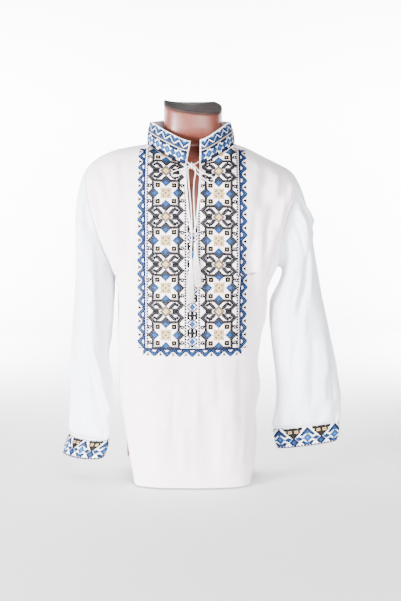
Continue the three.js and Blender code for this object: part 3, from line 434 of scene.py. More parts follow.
def top_height(panel, side, x):
    """Top of a panel at x: the shoulder seam, or the neckline between the shoulder seams."""
    share = np.minimum(x / NECK[side], 1)
    if panel["slit"]:
        inner = NECKLINE["front"] + (NECKLINE["side"] - NECKLINE["front"]) * share**1.9
    else:
        inner = NECKLINE["side"] + (NECKLINE["back"] - NECKLINE["side"]) * (1 - share**2)
    return np.where(x >= NECK[side], read(SHOULDER[side], "x", x, "z"), inner)


def column_share(panel, side, column):
    """Share of the half width at a column: even to the neck, then closer towards the edge."""
    slit = SLIT_HALF if panel["slit"] else 0
    neck = (NECK[side] - slit) / (TIP[side] - slit)
    beyond = np.maximum(column - NECK_COLUMNS, 0) / (COLUMNS - NECK_COLUMNS)
    inner = neck * column / NECK_COLUMNS
    outer = neck + (1 - neck) * np.sin(np.pi / 2 * beyond)
    return np.where(column <= NECK_COLUMNS, inner, outer)


def share_column(panel, side, share):
    """The column at a share of the half width: column_share turned round."""
    columns = np.linspace(0, COLUMNS, 400)
    return np.interp(share, column_share(panel, side, columns), columns)


def level_at(panel, row):
    """Height of a panel's grid row under the armpits, and the armpits' height over them."""
    levels = np.array([panel["hem"]["middle"], *BODY_LEVELS, ARMPIT], dtype=float)
    return np.interp(row, np.arange(len(levels)), levels)


def panel_edge(panel, side, level, t):
    """Distance of a panel's side edge from the middle: the side seam's, or the armhole's."""
    return np.where(t > 0, read(ARMHOLE[side], "t", t, "x"), read(panel["levels"], "z", level, side))


def panel_place(panel, side, share, row):
    """Point of a panel's half: a level under the armpits or a share t over them, and in depth a
    superellipse from the side edge, share 1, to the middle, share 0."""
    level, t = level_at(panel, row), armhole_share(row)
    lift = ARMPIT_LIFT[side] * np.clip(row - HEM_ROWS + 1, 0, 1)
    corner = (panel["hem"][side] - panel["hem"]["middle"]) * np.clip(1 - row, 0, 1)
    edge = panel_edge(panel, side, level + lift, t)
    slit = slit_half(t) if panel["slit"] else 0
    x = slit + (edge - slit) * share
    base = level + lift * share**2 + corner * share**HEM_CORNER
    z = base + (top_height(panel, side, x) - base) * t
    round_share = arc(share, PLAN, PLAN)
    low_edge = np.where(level < VENT, read(panel["levels"], "z", level, "edge"), 0)
    low_middle = read(panel["levels"], "z", level, "middle")
    low = low_edge + (low_middle - low_edge) * round_share
    neck = panel["neck"] * arc(np.minimum(x / NECK[side], 1), NECK_ROUND, NECK_ROUND)
    middle = neck + (panel["levels"]["middle"][-1] - neck) * arc(t, CHEST, NECK_ROUND)
    pull = panel["sign"] * ARMHOLE_DEPTH * 2 * np.sqrt(np.maximum(t * (1 - t), 0))
    high = middle * round_share + pull * (1 - round_share) * share**ARMHOLE_PULL
    return np.stack([SIGN[side] * x, np.where(t > 0, high, low), z], -1)


PANEL_ROWS = np.concatenate([
    np.linspace(0, 1, 20)[:-1], np.linspace(1, HEM_ROWS, 46)[:-1], np.linspace(HEM_ROWS, TOP_ROW, 80),
])
PANEL_COLUMNS = np.concatenate([
    np.linspace(0, NECK_COLUMNS, 32)[:-1], np.linspace(NECK_COLUMNS, COLUMNS - 0.25, 34), [10.85, 10.94, 11],
])
HEM_FOLD = 20                    # height of the turned-up hem
HEM_STEP = 0.5                   # how much prouder the doubled cloth lies
HEM_STITCH = 0.35                # how deep its seam draws in
SEAM_DITCH = 1.0                 # how deep the cloth dips into a seam
BOW_REST = {                     # where the bow and the cords lie, and how far the cloth gives way
    "bow": {"x": 0, "z": 676, "wide": 58, "tall": 34, "deep": 7.5},
    "cords": {"x": -1, "z": 530, "wide": 20, "tall": 120, "deep": 2.2},
}


def seam_ditch(away, depth=SEAM_DITCH, reach=2.4):
    """Dip of the cloth into a seam at a distance from it."""
    return -depth * np.exp(-(away / reach) ** 2)


def armpit_turn(plain, column):
    """What makes the turn of the columns at the armpits' level soft, in x and y: the difference from
    a mean weighted by a bell curve of the height, faded out above, below and towards the side edge."""
    z, place = plain[..., 2], plain[..., :2]
    weight = np.exp(-(((z[:, None] - z[None]) / ARMPIT_SOFT) ** 2)) * np.abs(np.gradient(z, axis=0))[None]
    mean = (weight[..., None] * place[None]).sum(1) / weight.sum(1)[..., None]
    near = np.exp(-(((z - ARMPIT) / (4 * ARMPIT_SOFT)) ** 4)) * smooth((COLUMNS - column) / 1.2)
    return (mean - place) * near[..., None]


def panel_half(name, panel, side, crease):
    """Half a panel: points on its form, moved along their normals by folds, creases, a slow
    ripple, the step of the turned-up hem and the dips at its seams."""
    row, column = np.meshgrid(PANEL_ROWS, PANEL_COLUMNS, indexing="ij")
    plain = panel_place(panel, side, column_share(panel, side, column), row)
    plain[..., :2] += armpit_turn(plain, column)
    flip = panel["sign"] * SIGN[side] > 0
    normals = grid_normals(plain, flip=flip)
    x, z = plain[..., 0], plain[..., 2]
    from_top = smooth((1 - armhole_share(row)) / 0.12)
    height = fold_height(PANEL_FOLDS[name], x, z)
    height *= smooth((COLUMNS - column) / 2.2) * from_top * smooth(column / 1.5)
    fine = fold_height(PANEL_CREASES[name], x, z) * crease + 0.7 * ripple(x, z, 1.0)
    height += fine * smooth((COLUMNS - column) / 0.6) * from_top
    from_middle, from_hem = lengths(plain, 1), lengths(plain, 0)
    height += seam_ditch(from_middle[:, -1:] - from_middle) * smooth((z - VENT + 6) / 12)
    height += np.where(column > NECK_COLUMNS, seam_ditch(from_hem[-1:] - from_hem), 0)
    if panel["slit"]:
        height *= ~((column == 0) & (row > HEM_ROWS + SLIT_ROW))
        for rest in BOW_REST.values():
            near = np.exp(-(((x - rest["x"]) / rest["wide"]) ** 4) - ((z - rest["z"]) / rest["tall"]) ** 4)
            height = height * (1 - near) - rest["deep"] * near
    height += HEM_STEP * smooth((HEM_FOLD - from_hem) / 1.2)
    height += seam_ditch(from_hem - HEM_FOLD, HEM_STITCH, 1.3)
    normals[:, 0, 0] = 0
    normals[:, 0] = unit(normals[:, 0])
    return as_grid(plain, normals, height, PANEL_ROWS, PANEL_COLUMNS, False, flip)


# ------------------------------------------------------------------ sleeves and cuffs
def ring_at(side, z):
    """A sleeve's ring at a height, or at many heights."""
    return {name: read(RINGS[side], "z", z, name) for name in RINGS[side]}


def ring_point(ring, side, turn):
    """Point of a flattened ring round an arm: turn 0 outside, a quarter front, a half inside."""
    spin = np.radians(ring["turn"])
    thick = np.sqrt(ring["width"] ** 2 - (ring["deep"] * np.sin(spin)) ** 2) / np.cos(spin)
    a, b = thick * np.cos(turn), -ring["deep"] * np.sin(turn)
    out = a * np.cos(spin) - b * np.sin(spin)
    back = a * np.sin(spin) + b * np.cos(spin)
    return np.stack([SIGN[side] * (ring["x"] + out), ring["y"] + back, ring["z"] + ring["slope"] * out], -1)


def turn_of(column):
    """Turn of a sleeve's column, from the armpit over the front to the outside and the back."""
    return np.pi * (1 - column / ARMHOLE_ROWS)


def armhole_point(side, column):
    """Armhole point of a column: up the front panel's edge and down the back panel's."""
    one = np.ones_like(column)
    front = panel_place(FRONT, side, one, HEM_ROWS + np.minimum(column, ARMHOLE_ROWS))
    back = panel_place(BACK, side, one, HEM_ROWS + np.clip(ROUND - column, 0, ARMHOLE_ROWS))
    return np.where((column <= ARMHOLE_ROWS)[..., None], front, back)


def over_cuff(side, row):
    """Height of a sleeve's row of rings over the cuff's seam."""
    low, high = RINGS[side]["z"][[0, -1]]
    return (high - low) * (1 - np.clip((row - CAP_ROWS) / RING_ROWS, 0, 1)) ** RING_POWER


def sleeve_place(side, column, row):
    """Point of a sleeve: over row 6 a smooth curve from the armhole to the highest ring, under
    it the rings down to the cuff's seam."""
    turn = turn_of(column)
    bottom, top = RINGS[side]["z"][[0, -1]]
    s = np.clip(row / CAP_ROWS, 0, 1)[..., None]
    start = armhole_point(side, column)
    end = ring_point(ring_at(side, np.full(turn.shape, top)), side, turn)
    reach = np.linalg.norm(end - start, axis=-1)
    up = (1 + np.cos(turn)) / 2
    out, down = [low + (high - low) * up for low, high in (CAP[side]["out"], CAP[side]["down"])]
    leave = np.stack([SIGN[side] * out, -CAP_BULGE * np.sin(turn), -down], -1) * reach[..., None]
    below = ring_point(ring_at(side, np.full(turn.shape, top - CAP_STEP)), side, turn)
    arrive = (below - end) * (CAP_ARRIVE * reach / CAP_STEP)[..., None]
    cap = (start * (2 * s**3 - 3 * s**2 + 1) + leave * (s**3 - 2 * s**2 + s)
           + end * (3 * s**2 - 2 * s**3) + arrive * (s**3 - s**2))
    rings = ring_point(ring_at(side, bottom + over_cuff(side, row)), side, turn)
    return np.where((row < CAP_ROWS)[..., None], cap, rings)


def gather_height(gathers, peak, degrees, above):
    """How high the gathers stand at a place over the cuff's seam."""
    height = np.zeros(degrees.shape)
    for turn, rise, width, reach in zip(*gathers.values()):
        away = np.abs((degrees - turn + 540) % 360 - 180)
        fade = smooth(above / peak) * smooth((reach - above) / (reach - peak))
        height += rise * fade * np.exp(-0.5 * (away / width) ** 2)
    return height


SLEEVE_ROWS = np.concatenate([
    [0, 0.06], np.linspace(0.12, CAP_ROWS, 40)[:-1], np.linspace(CAP_ROWS, SLEEVE_END - 2, 56)[:-1],
    np.linspace(SLEEVE_END - 2, SLEEVE_END, 30),
])
SLEEVE_COLUMNS = np.linspace(0, ROUND, 150)[:-1]


def sleeve_grid(side, crease):
    """A sleeve: its form, moved out by folds, creases, gathers over the cuff and a slow ripple,
    and in by the dips at its seams."""
    row, column = np.meshgrid(SLEEVE_ROWS, SLEEVE_COLUMNS, indexing="ij")
    plain = sleeve_place(side, column, row)
    normals = grid_normals(plain, closed=True, flip=side == "left")
    degrees = np.degrees(turn_of(column)) % 360
    z = plain[..., 2]
    above = np.where(row < CAP_ROWS, RINGS[side]["z"][-1], over_cuff(side, row))
    down = lengths(plain, 0)
    height = fold_height(SLEEVE_FOLDS[side], degrees, z, TURN_ASPECT) * smooth(row / 2.5)
    height *= smooth((SLEEVE_END - row) / 2)
    fine = fold_height(SLEEVE_CREASES[side], degrees, z, TURN_ASPECT) * crease
    fine += 0.6 * ripple(degrees * TURN_ASPECT, z, 1.0) * np.abs(np.sin(np.radians(degrees / 2)))
    height += fine * smooth(row / 1.2) * smooth((SLEEVE_END - row) / 1.5)
    height += gather_height(GATHERS, GATHER_PEAK, degrees, above)
    height += gather_height(PLEATS, PLEAT_PEAK, degrees, above)
    height += seam_ditch(down) + seam_ditch(down[-1:] - down, 0.5)
    return as_grid(plain, normals, height, SLEEVE_ROWS, SLEEVE_COLUMNS, True, side == "left")


def cuff_grid(side):
    """A cuff: straight from the sleeve's seam to its lower edge, bulged by half a sine wave."""
    rows = np.linspace(0, 1, 28)
    row, column = np.meshgrid(rows, np.linspace(0, ROUND, 130)[:-1], indexing="ij")
    turn = turn_of(column)
    top = ring_point(ring_at(side, np.full(turn.shape, RINGS[side]["z"][0])), side, turn)
    low = ring_point({name: value[0] for name, value in CUFF_END[side].items()}, side, turn)
    plain = top + (low - top) * row[..., None]
    normals = grid_normals(plain, closed=True, flip=side == "left")
    down = lengths(plain, 0)
    height = CUFF_BULGE * np.sin(np.pi * row)
    height += seam_ditch(down, 0.6, 1.5) + seam_ditch(down[-1:] - down, 0.8, 1.2)
    height += 0.35 * ripple(np.degrees(turn), plain[..., 2] * 2, 0.6)
    return as_grid(plain, normals, height, rows, column[0], True, side == "left")


# ------------------------------------------------------------------ collar
def neckline(fronts, backs):
    """Neckline from the right front end round the back to the left front end."""
    count = np.searchsorted(PANEL_COLUMNS, NECK_COLUMNS) + 1
    front_right, front_left = [half["points"][-1, :count] for half in fronts]
    back_right, back_left = [half["points"][-1, :count] for half in backs]
    return np.concatenate([front_right, back_right[-2::-1], back_left[1:], front_left[-2::-1]])


def collar_grid(fronts, backs):
    """Stand collar: the neckline, moved by a lean and a rise that grow with height, and bulged
    by half a sine wave, with a slow ripple."""
    line = neckline(fronts, backs)
    heights = np.linspace(0, 1, 34)
    w = np.arange(len(line)) / (len(line) - 1)
    lean = np.stack([read(COLLAR, "w", w, name) for name in ("dx", "dy", "rise")], -1)
    plain = line[None] + lean[None] * heights[:, None, None]
    normals = grid_normals(plain, flip=True)
    up = lengths(plain, 0)
    height = COLLAR_BULGE * np.sin(np.pi * heights)[:, None] + 0.3 * ripple(w[None] * 800, up * 3, 1.0)
    height = height + seam_ditch(up, 0.8, 1.5) + seam_ditch(up[-1:] - up, 0.8, 1.2)
    height[0] = np.minimum(height[0], 0)
    return as_grid(plain, normals, height, heights, w, False, True)


# ------------------------------------------------------------------ objects
def linked(name, points, faces, shaded_smooth):
    """Object from points in mm and lists of indices, at the origin, unturned and unscaled."""
    mesh = bpy.data.meshes.new(name)
    mesh.from_pydata((points * MM).tolist(), [], faces)
    mesh.polygons.foreach_set("use_smooth", shaded_smooth)
    mesh.update()
    made = bpy.data.objects.new(name, mesh)
    bpy.context.scene.collection.objects.link(made)
    return made


def mesh_object(name, points, faces, uv=None):
    """Object from rows of indices and those of the points that they use."""
    used, inverse = np.unique(faces, return_inverse=True)
    faces = inverse.reshape(faces.shape)
    made = linked(name, points[used], faces.tolist(), np.ones(len(faces), dtype=bool))
    if uv is not None:
        layer = made.data.uv_layers.new(name="cloth")
        layer.data.foreach_set("uv", (uv[used] * MM)[faces.ravel()].ravel())
    return made


def quads(ids, closed=False, flip=False):
    """Faces between a grid's points, given the points' indices."""
    if closed:
        ids = np.concatenate([ids, ids[:, :1]], 1)
    faces = np.stack([ids[:-1, :-1], ids[:-1, 1:], ids[1:, 1:], ids[1:, :-1]], -1).reshape(-1, 4)
    return faces[:, ::-1] if flip else faces


def grid_ids(points, first=0):
    """Indices of a grid's points, in rows."""
    return first + np.arange(points[..., 0].size).reshape(points.shape[:-1])


def wrapped(grid):
    """A grid's points and columns: on a tube, the first column comes again after the last."""
    points, columns = grid["points"], grid["column"]
    if grid["closed"]:
        points = np.concatenate([points, points[:, :1]], 1)
        columns = np.append(columns, 2 * columns[-1] - columns[-2])
    return points, columns


def capped(name, points, round_ends=False):
    """Closed solid from a grid of rings: the skin and a fan over each end, shaded flat or round."""
    ids = grid_ids(points)
    skin = quads(ids, closed=True)
    everything = np.concatenate([points.reshape(-1, 3), points[:1].mean(1), points[-1:].mean(1)])
    low, high = (np.full(ids.shape[1], ids.size + end) for end in (0, 1))
    fans = np.concatenate([
        np.stack([low, np.roll(ids[0], -1), ids[0]], -1), np.stack([high, ids[-1], np.roll(ids[-1], -1)], -1),
    ])
    shaded = (np.arange(len(skin) + len(fans)) < len(skin)) | round_ends
    return linked(name, everything, skin.tolist() + fans.tolist(), shaded)


def flat_lengths(grid):
    """Places on the cloth laid flat, in mm: length along the row and up the column."""
    points = grid["points"]
    return np.stack([lengths(points, 1), lengths(points, 0)], -1)


def thicken(made, thickness):
    """Solidify inwards from the outer skin."""
    wall = made.modifiers.new("thickness", "SOLIDIFY")
    wall.thickness = thickness * MM
    wall.offset = -1
    return made


def keep(made, node, material=None):
    """The piece rides on the body, stands for its CAD node and takes its finish from a slot.
    Stitches stand for no node and have their threads' materials already."""
    if material:
        made.data.materials.append(material)
    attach(made, BODY)
    if node:
        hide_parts(node)
    return made


def sample(grid, column, row):
    """Points, normals and directions across and up at places between a grid's points."""
    points, columns = wrapped(grid)
    x = np.interp(column, columns, np.arange(len(columns)))
    y = np.interp(row, grid["row"], np.arange(len(grid["row"])))
    i = np.clip(x.astype(int), 0, len(columns) - 2)
    j = np.clip(y.astype(int), 0, len(grid["row"]) - 2)
    x, y = (x - i)[..., None], (y - j)[..., None]
    a, b, c, d = points[j, i], points[j, i + 1], points[j + 1, i + 1], points[j + 1, i]
    place = a * (1 - x) * (1 - y) + b * x * (1 - y) + c * x * y + d * (1 - x) * y
    across = (b - a) * (1 - y) + (c - d) * y
    up = (d - a) * (1 - x) + (c - b) * x
    normal = unit(np.cross(across, up))
    return place, -normal if grid["flip"] else normal, unit(across), unit(up)


# ------------------------------------------------------------------ materials
def colour(code):
    """Linear colour of an sRGB hex code."""
    values = np.array([int(code[i:i + 2], 16) for i in (1, 3, 5)]) / 255
    linear = np.where(values <= 0.04045, values / 12.92, ((values + 0.055) / 1.055) ** 2.4)
    return (*linear.tolist(), 1.0)


def add(tree, kind, links=None, **settings):
    """A node of a kind: its settings set, and its sockets fed by other sockets or by values."""
    made = tree.nodes.new("ShaderNode" + kind)
    for name, value in settings.items():
        setattr(made, name, value)
    for socket, source in (links or {}).items():
        if isinstance(source, bpy.types.NodeSocket):
            tree.links.new(source, made.inputs[socket])
        else:
            made.inputs[socket].default_value = source
    return made


def blank_material(name):
    """A material with no nodes yet, and its node tree."""
    material = bpy.data.materials.new(name)
    material.use_nodes = True
    material.node_tree.nodes.clear()
    return material, material.node_tree


def surface(tree, links):
    """The shader and the output: what the links feed is all that differs from the defaults."""
    shader = add(tree, "BsdfPrincipled", links)
    add(tree, "OutputMaterial", {"Surface": shader.outputs["BSDF"]})


def stretched_noise(tree, place, size, detail=3.0):
    """Noise with cells of the given size in metres along each direction."""
    scaled = add(tree, "Mapping", {"Vector": place, "Scale": tuple(1 / s for s in size)})
    noise = add(tree, "TexNoise", {"Vector": scaled.outputs["Vector"], "Scale": 1.0, "Detail": detail})
    return noise.outputs["Fac"]


def mixed(tree, share, first, second):
    """Colour between two, by a share."""
    made = add(tree, "Mix", {"Factor": share}, data_type="RGBA")
    for socket, source in ((made.inputs[6], first), (made.inputs[7], second)):
        if isinstance(source, bpy.types.NodeSocket):
            tree.links.new(source, socket)
        else:
            socket.default_value = source
    return made.outputs[2]


def ramp(tree, share, low, high, to_low=0.0, to_high=1.0):
    """A share stretched so that low becomes to_low and high to_high."""
    made = add(tree, "MapRange", {
        "Value": share, "From Min": low, "From Max": high, "To Min": to_low, "To Max": to_high})
    return made.outputs["Result"]


WEAVE_SCALE = 38.0               # wave texture's scale for a weave of 1.3 mm


def linen(name, light, shade, thread_bump=1.0):
    """Plain-weave linen: thick and thin threads both ways give faint bars of light and shade, the
    weave gives tiny even dimples, and slow swells keep wide stretches from looking ironed.
    The weave is drawn at 1.3 mm, three times its real pitch, or it would be too fine to see."""
    material, tree = blank_material(name)
    place = add(tree, "UVMap", uv_map="cloth").outputs["UV"]
    warp = stretched_noise(tree, place, (0.0016, 0.045, 1))
    weft = stretched_noise(tree, place, (0.036, 0.0019, 1))
    cloud = stretched_noise(tree, place, (0.05, 0.07, 1), 2.0)
    slubs = add(tree, "Math", {0: warp, 1: weft}, operation="ADD").outputs[0]
    tint = ramp(tree, slubs, 0.72, 1.28)
    tone = mixed(tree, tint, colour(shade), colour(light))
    soft = ramp(tree, cloud, 0.2, 0.9)
    shaded = mixed(tree, 0.12, tone, colour(shade))
    base = mixed(tree, soft, shaded, tone)
    bars = [add(tree, "TexWave", {"Vector": place, "Scale": WEAVE_SCALE, "Distortion": 0.6, "Detail": 1.0},
                wave_type="BANDS", bands_direction=way).outputs["Fac"] for way in "XY"]
    weave = add(tree, "Math", dict(enumerate(bars)), operation="MULTIPLY").outputs[0]
    swell = stretched_noise(tree, place, (0.03, 0.055, 1), 2.0)
    normal = {}
    for height, strength, depth in (
        (swell, 0.5, 0.0028), (slubs, 0.55 * thread_bump, 0.00022), (weave, 0.5, 0.00012),
    ):
        bump = add(tree, "Bump", {"Height": height, "Strength": strength, "Distance": depth, **normal})
        normal = {"Normal": bump.outputs["Normal"]}
    surface(tree, {"Base Color": base, "Roughness": 0.88, **normal,
                   "Sheen Weight": 0.12, "Sheen Roughness": 0.5, "Specular IOR Level": 0.25})
    return material


# Finishes without a weave. "tone" and "grain" are noises: cell sizes in metres and detail. The tone
# runs between two colours over the noise's "span"; "bump" is the grain's strength and depth, and
# "shader" what else differs from the defaults.
FINISHES = {
    # Stranded cotton: fine strands across each stitch, and neighbours that differ a little in tone.
    "thread": {
        "tone": ((0.0035, 0.0035, 0.0035), 1.0), "span": (0.3, 0.7),
        "grain": ((0.0005, 0.0005, 0.0005), 2.0), "bump": (0.6, 0.00015),
        "shader": {"Roughness": 0.62, "Specular IOR Level": 0.12},
    },
    # Soft mercerised cotton: pale, with fine fibres along it and a faint shade in its hollows.
    "cotton": {
        "tone": ((0.0006, 0.0006, 0.003), 3.0), "span": (0.3, 0.7),
        "grain": ((0.0006, 0.0006, 0.003), 3.0), "bump": (0.5, 0.0002),
        "shader": {"Roughness": 0.7, "Sheen Weight": 0.3, "Sheen Roughness": 0.4},
    },
    # Glossy moulded plastic, skin-coloured: slow changes of tone, faint dents from the mould, and
    # rubbed patches, a noise and its span again, whose roughness runs between two values.
    "gloss": {
        "tone": ((0.06, 0.06, 0.09), 3.0), "span": (0.3, 0.7),
        "grain": ((0.012, 0.012, 0.02), 3.0), "bump": (0.35, 0.0006),
        "shader": {"Specular IOR Level": 0.35},
        "rubbed": ((0.03, 0.03, 0.05), 4.0), "rubbed_span": (0.35, 0.7), "rubbed_roughness": (0.34, 0.44),
    },
    # Satin plastic of the neck's cap: a few faint wipe marks and fine grain.
    "satin": {
        "tone": ((0.05, 0.012, 0.02), 3.0), "span": (0.35, 0.65),
        "grain": ((0.0012, 0.0012, 0.0012), 2.0), "bump": (0.3, 0.0001),
        "shader": {"Roughness": 0.7, "Specular IOR Level": 0.08},
    },
}


def finish(kind, name, light, shade):
    """Material of a finish: a tone between two colours by slow noise, and fine noise as relief."""
    look = FINISHES[kind]
    material, tree = blank_material(name)
    place = add(tree, "TexCoord").outputs["Object"]
    tone = stretched_noise(tree, place, *look["tone"])
    grain = stretched_noise(tree, place, *look["grain"])
    base = mixed(tree, ramp(tree, tone, *look["span"]), colour(shade), colour(light))
    strength, depth = look["bump"]
    bump = add(tree, "Bump", {"Height": grain, "Strength": strength, "Distance": depth})
    links = {"Base Color": base, "Normal": bump.outputs["Normal"], **look["shader"]}
    if "rubbed" in look:
        rubbed = stretched_noise(tree, place, *look["rubbed"])
        links["Roughness"] = ramp(tree, rubbed, *look["rubbed_span"], *look["rubbed_roughness"])
    surface(tree, links)
    return material


def studio_paper(name, light):
    """Plain pale backdrop paper with a very faint tooth."""
    material, tree = blank_material(name)
    place = add(tree, "TexCoord").outputs["Object"]
    tooth = stretched_noise(tree, place, (0.004, 0.004, 0.004), 2.0)
    bump = add(tree, "Bump", {"Height": tooth, "Strength": 0.1, "Distance": 0.0002})
    surface(tree, {"Base Color": colour(light), "Roughness": 0.9, "Normal": bump.outputs["Normal"]})
    return material


THREAD_COLOURS = {
    "blue": ("#1c406c", "#132f56"),
    "sky": ("#2f6496", "#245384"),
    "navy": ("#0a1836", "#071028"),
    "black": ("#060607", "#030304"),
    "charcoal": ("#101013", "#09090b"),
    "grey": ("#2c2c31", "#202024"),
    "cream": ("#c4a874", "#ab8e58"),
    "taupe": ("#5c504a", "#4a403b"),
}


# ------------------------------------------------------------------ embroidery
def strokes(rows):
    """A chart's strokes as they are drawn, later ones over earlier ones. A row gives a reach, how
    it is measured, a chain of places x, y and a thread. A chain of one place is a dot."""
    made = []
    for reach, measure, *chain, name in rows:
        places = list(zip(chain[::2], chain[1::2]))
        for start, end in zip(places, places[1:] or places):
            made.append((reach, measure, *start, *end, THREADS.index(name)))
    return made


def both(rows):
    """Rows of a chart, each followed by its mirror image in the diagonal x = y."""
    for reach, measure, *chain, name in rows:
        turned = [value for pair in zip(chain[1::2], chain[::2]) for value in pair]
        yield from ((reach, measure, *chain, name), (reach, measure, *turned, name))


def paint(chart, x, y):
    """Thread of each cell: that of the last stroke that covers it. A stroke is a segment and
    all that lies within its reach, measured as a disc, a square or a diamond."""
    threads = np.zeros(np.broadcast(x, y).shape, dtype=int)
    for reach, measure, x1, y1, x2, y2, thread in chart:
        dx, dy = x2 - x1, y2 - y1
        length = max(dx * dx + dy * dy, TINY)
        s = np.clip(((x - x1) * dx + (y - y1) * dy) / length, 0, 1)
        away_x, away_y = np.abs(x - x1 - s * dx), np.abs(y - y1 - s * dy)
        away = (np.hypot(away_x, away_y), np.maximum(away_x, away_y), away_x + away_y)[measure]
        threads = np.where(away <= reach + ROUNDING, thread, threads)
    return threads


def folded(value, period, start=0.0):
    """Distance from the nearest repeat of a motif's middle."""
    return np.abs((value - start + period / 2) % period - period / 2)


# Star, its frame, and the pair of horns half a repeat above it: one quarter of the repeat,
# from the star's middle at (0, 0) to the horns' middle at (0, 26).
STAR_REPEAT = 52
STAR_AND_HORNS = strokes([
    *both([
        (1.6, DISC, 0, 18.4, 5.2, 13.6, "charcoal"), (0.6, DISC, 0, 17.6, 4.8, 13, "grey"),
        (0.8, DISC, 5.2, 14.2, 13.4, 14.2, "charcoal"), (0.5, DISC, 6.5, 12.6, 12.4, 12.6, "taupe"),
        (4.9, DIAMOND, 12, 0, "navy"), (3.9, DIAMOND, 12, 0, "blue"), (0.6, DIAMOND, 12, 0, "sky"),
    ]),
    (2.5, SQUARE, 9, 9, "black"), (0.5, DISC, 9, 9, "cream"), *both([(1.4, DISC, 0, 2.5, 0, 5, "cream")]),
    (2.1, DISC, 3.8, 3.8, "taupe"), (1.0, DISC, 4, 4, "cream"), (1.1, DISC, 0, 0, "taupe"),
    (2.1, DISC, 18, 8.8, "charcoal"), (1.0, DISC, 18, 8.8, "bare"), (0.7, DISC, 15, 10, 17, 10, "charcoal"),
    (6.6, DIAMOND, 0, 26, "taupe"), (3.2, DIAMOND, 0, 26, "cream"), (0.6, DISC, 0, 26, "taupe"),
    (1.8, DISC, 8.6, 24, 13.2, 24, 18.2, 19, 14.6, 15.4, "charcoal"),
    (0.6, DISC, 8.6, 24, 13.2, 24, 18.4, 18.8, 15.4, 15.8, "grey"), (1.0, SQUARE, 9, 26, 13.6, 26, "black"),
    (1.7, DISC, 5, 21.8, 10, 17.4, "charcoal"), (0.7, DISC, 5, 21.8, 9.6, 17.8, "grey"),
    (1.1, DISC, 10.4, 17.4, 13, 19, "black"), (0.7, DISC, 13, 19, 12.6, 20.4, "black"),
])
# Down the middle: blue diamonds, and branched black motifs half a repeat above them.
MIDDLE = {"repeat": 19, "start": 8, "half": 5, "from": 2, "strokes": strokes([
    (3.8, DIAMOND, 0, 0, "blue"), (0.6, DIAMOND, 0, 0, "sky"), (0.6, DISC, 0, 5.6, 5, 1.4, "navy"),
    (1.2, DISC, 0, 6.6, 0, 9.5, "black"), (1.0, DISC, 0, 9.5, 4, 9.5, "black"),
    (1.0, DISC, 4.4, 9.5, 4.4, 6, "black"), (0.8, DISC, 4.4, 6, 2.8, 5.6, "black"),
])}
# Border: nested triangles that point outwards, with a light middle, and small hooks between. Its
# repeat and start up the side, and along the bottom, where it lies under the low line.
BORDER = {"side": (15, 7), "low": (14, 0), "under": -2, "deep": 7, "strokes": strokes([
    (1.9, DISC, 0, 4.4, 5.2, 0.2, 7.5, -1, "blue"), (0.6, DISC, 0, 5.8, 6.8, 0, "navy"),
    (0.6, DISC, 0, 3, 3.6, 0, "navy"), (0.8, DISC, 0, 0.6, "bare"),
    (0.6, DISC, 7.5, 2.6, 7.5, 4.6, "charcoal"), (0.6, DISC, 6.2, 4.8, 7.5, 4.8, "charcoal"),
])}
# Bib: its middle and bottom in mm; in cells, the bands of stars, the dotted columns, the solid
# lines, the border's first column, all its rows and columns; in mm what the slit keeps clear; and
# the grid rows of the panel that it lies between.
BIB = {"middle": -1.5, "bottom": 301, "band": 29, "band_half": 20, "star": 15, "dots": (8, 50),
       "line": (52, 53), "edge": 54, "rows": 232, "half": 60, "clear": 4.4,
       "from": 5, "to": TOP_ROW - 0.04}


def bib_chart(x, y):
    """Threads of the bib at cells x from its middle and y over its bottom line: two bands of
    stars and horns, a middle strip, dotted and solid lines, and the border of triangles."""
    across = np.abs(x)
    band_x = np.abs(across - BIB["band"])
    band = paint(STAR_AND_HORNS, band_x, folded(y, STAR_REPEAT, BIB["star"]))
    threads = np.where((band_x <= BIB["band_half"]) & (y > 0), band, 0)
    middle = paint(MIDDLE["strokes"], across, folded(y, MIDDLE["repeat"], MIDDLE["start"]))
    threads = np.where((across <= MIDDLE["half"]) & (y >= MIDDLE["from"]), middle, threads)
    for column in BIB["dots"]:
        dotted = ((across == column) | (across == column - 1)) & (y % 3 != 0) & (y >= MIDDLE["from"])
        threads = np.where(dotted, THREADS.index("grey"), threads)
    first, last = BIB["line"]
    lines = (y > BORDER["under"]) & (across <= last) & ((across >= first) | (y <= 0))
    threads = np.where(lines, THREADS.index("navy"), threads)
    side = paint(BORDER["strokes"], folded(y, *BORDER["side"]), across - BIB["edge"])
    threads = np.where((across >= BIB["edge"]) & (y >= 0), side, threads)
    low = paint(BORDER["strokes"], folded(x, *BORDER["low"]), BORDER["under"] - y)
    return np.where((y <= BORDER["under"]) & (across <= BIB["edge"]), low, threads)


# Collar: a row of diamonds and a row of nested chevrons, each with its rows of cells, repeat and
# start, and the rows of one colour about them.
COLLAR_CHART = (
    {"from": 1, "to": 12, "repeat": (15, 7), "strokes": strokes([
        (4.6, DIAMOND, 0, 7, "blue"), (1.2, DIAMOND, 0, 7, "sky"), (1.3, DISC, 7.5, 2, 7.5, 4.6, "navy"),
        (1.4, DISC, 7.5, 4.6, 5.6, 7, 7.5, 9.4, "blue"), (1.3, DISC, 7.5, 9.4, 7.5, 12, "navy"),
        (1.1, DISC, 3.4, 12, 7.5, 12, "navy"), (1.1, DISC, 3.4, 2, 7.5, 2, "navy"),
    ])},
    {"from": 17, "to": 24, "repeat": (12, 6), "strokes": strokes([
        (6.6, SQUARE, 0, 21, 6, 21, "blue"), (0.8, DISC, 0, 22.6, 6, 16.6, "bare"),
        (0.5, DISC, 0, 24.4, 6, 18.4, "navy"), (1.6, DIAMOND, 0, 18.6, "navy"), (1.9, DIAMOND, 6, 24, "bare"),
    ])},
)
COLLAR_CELLS = 25                # rows of cells
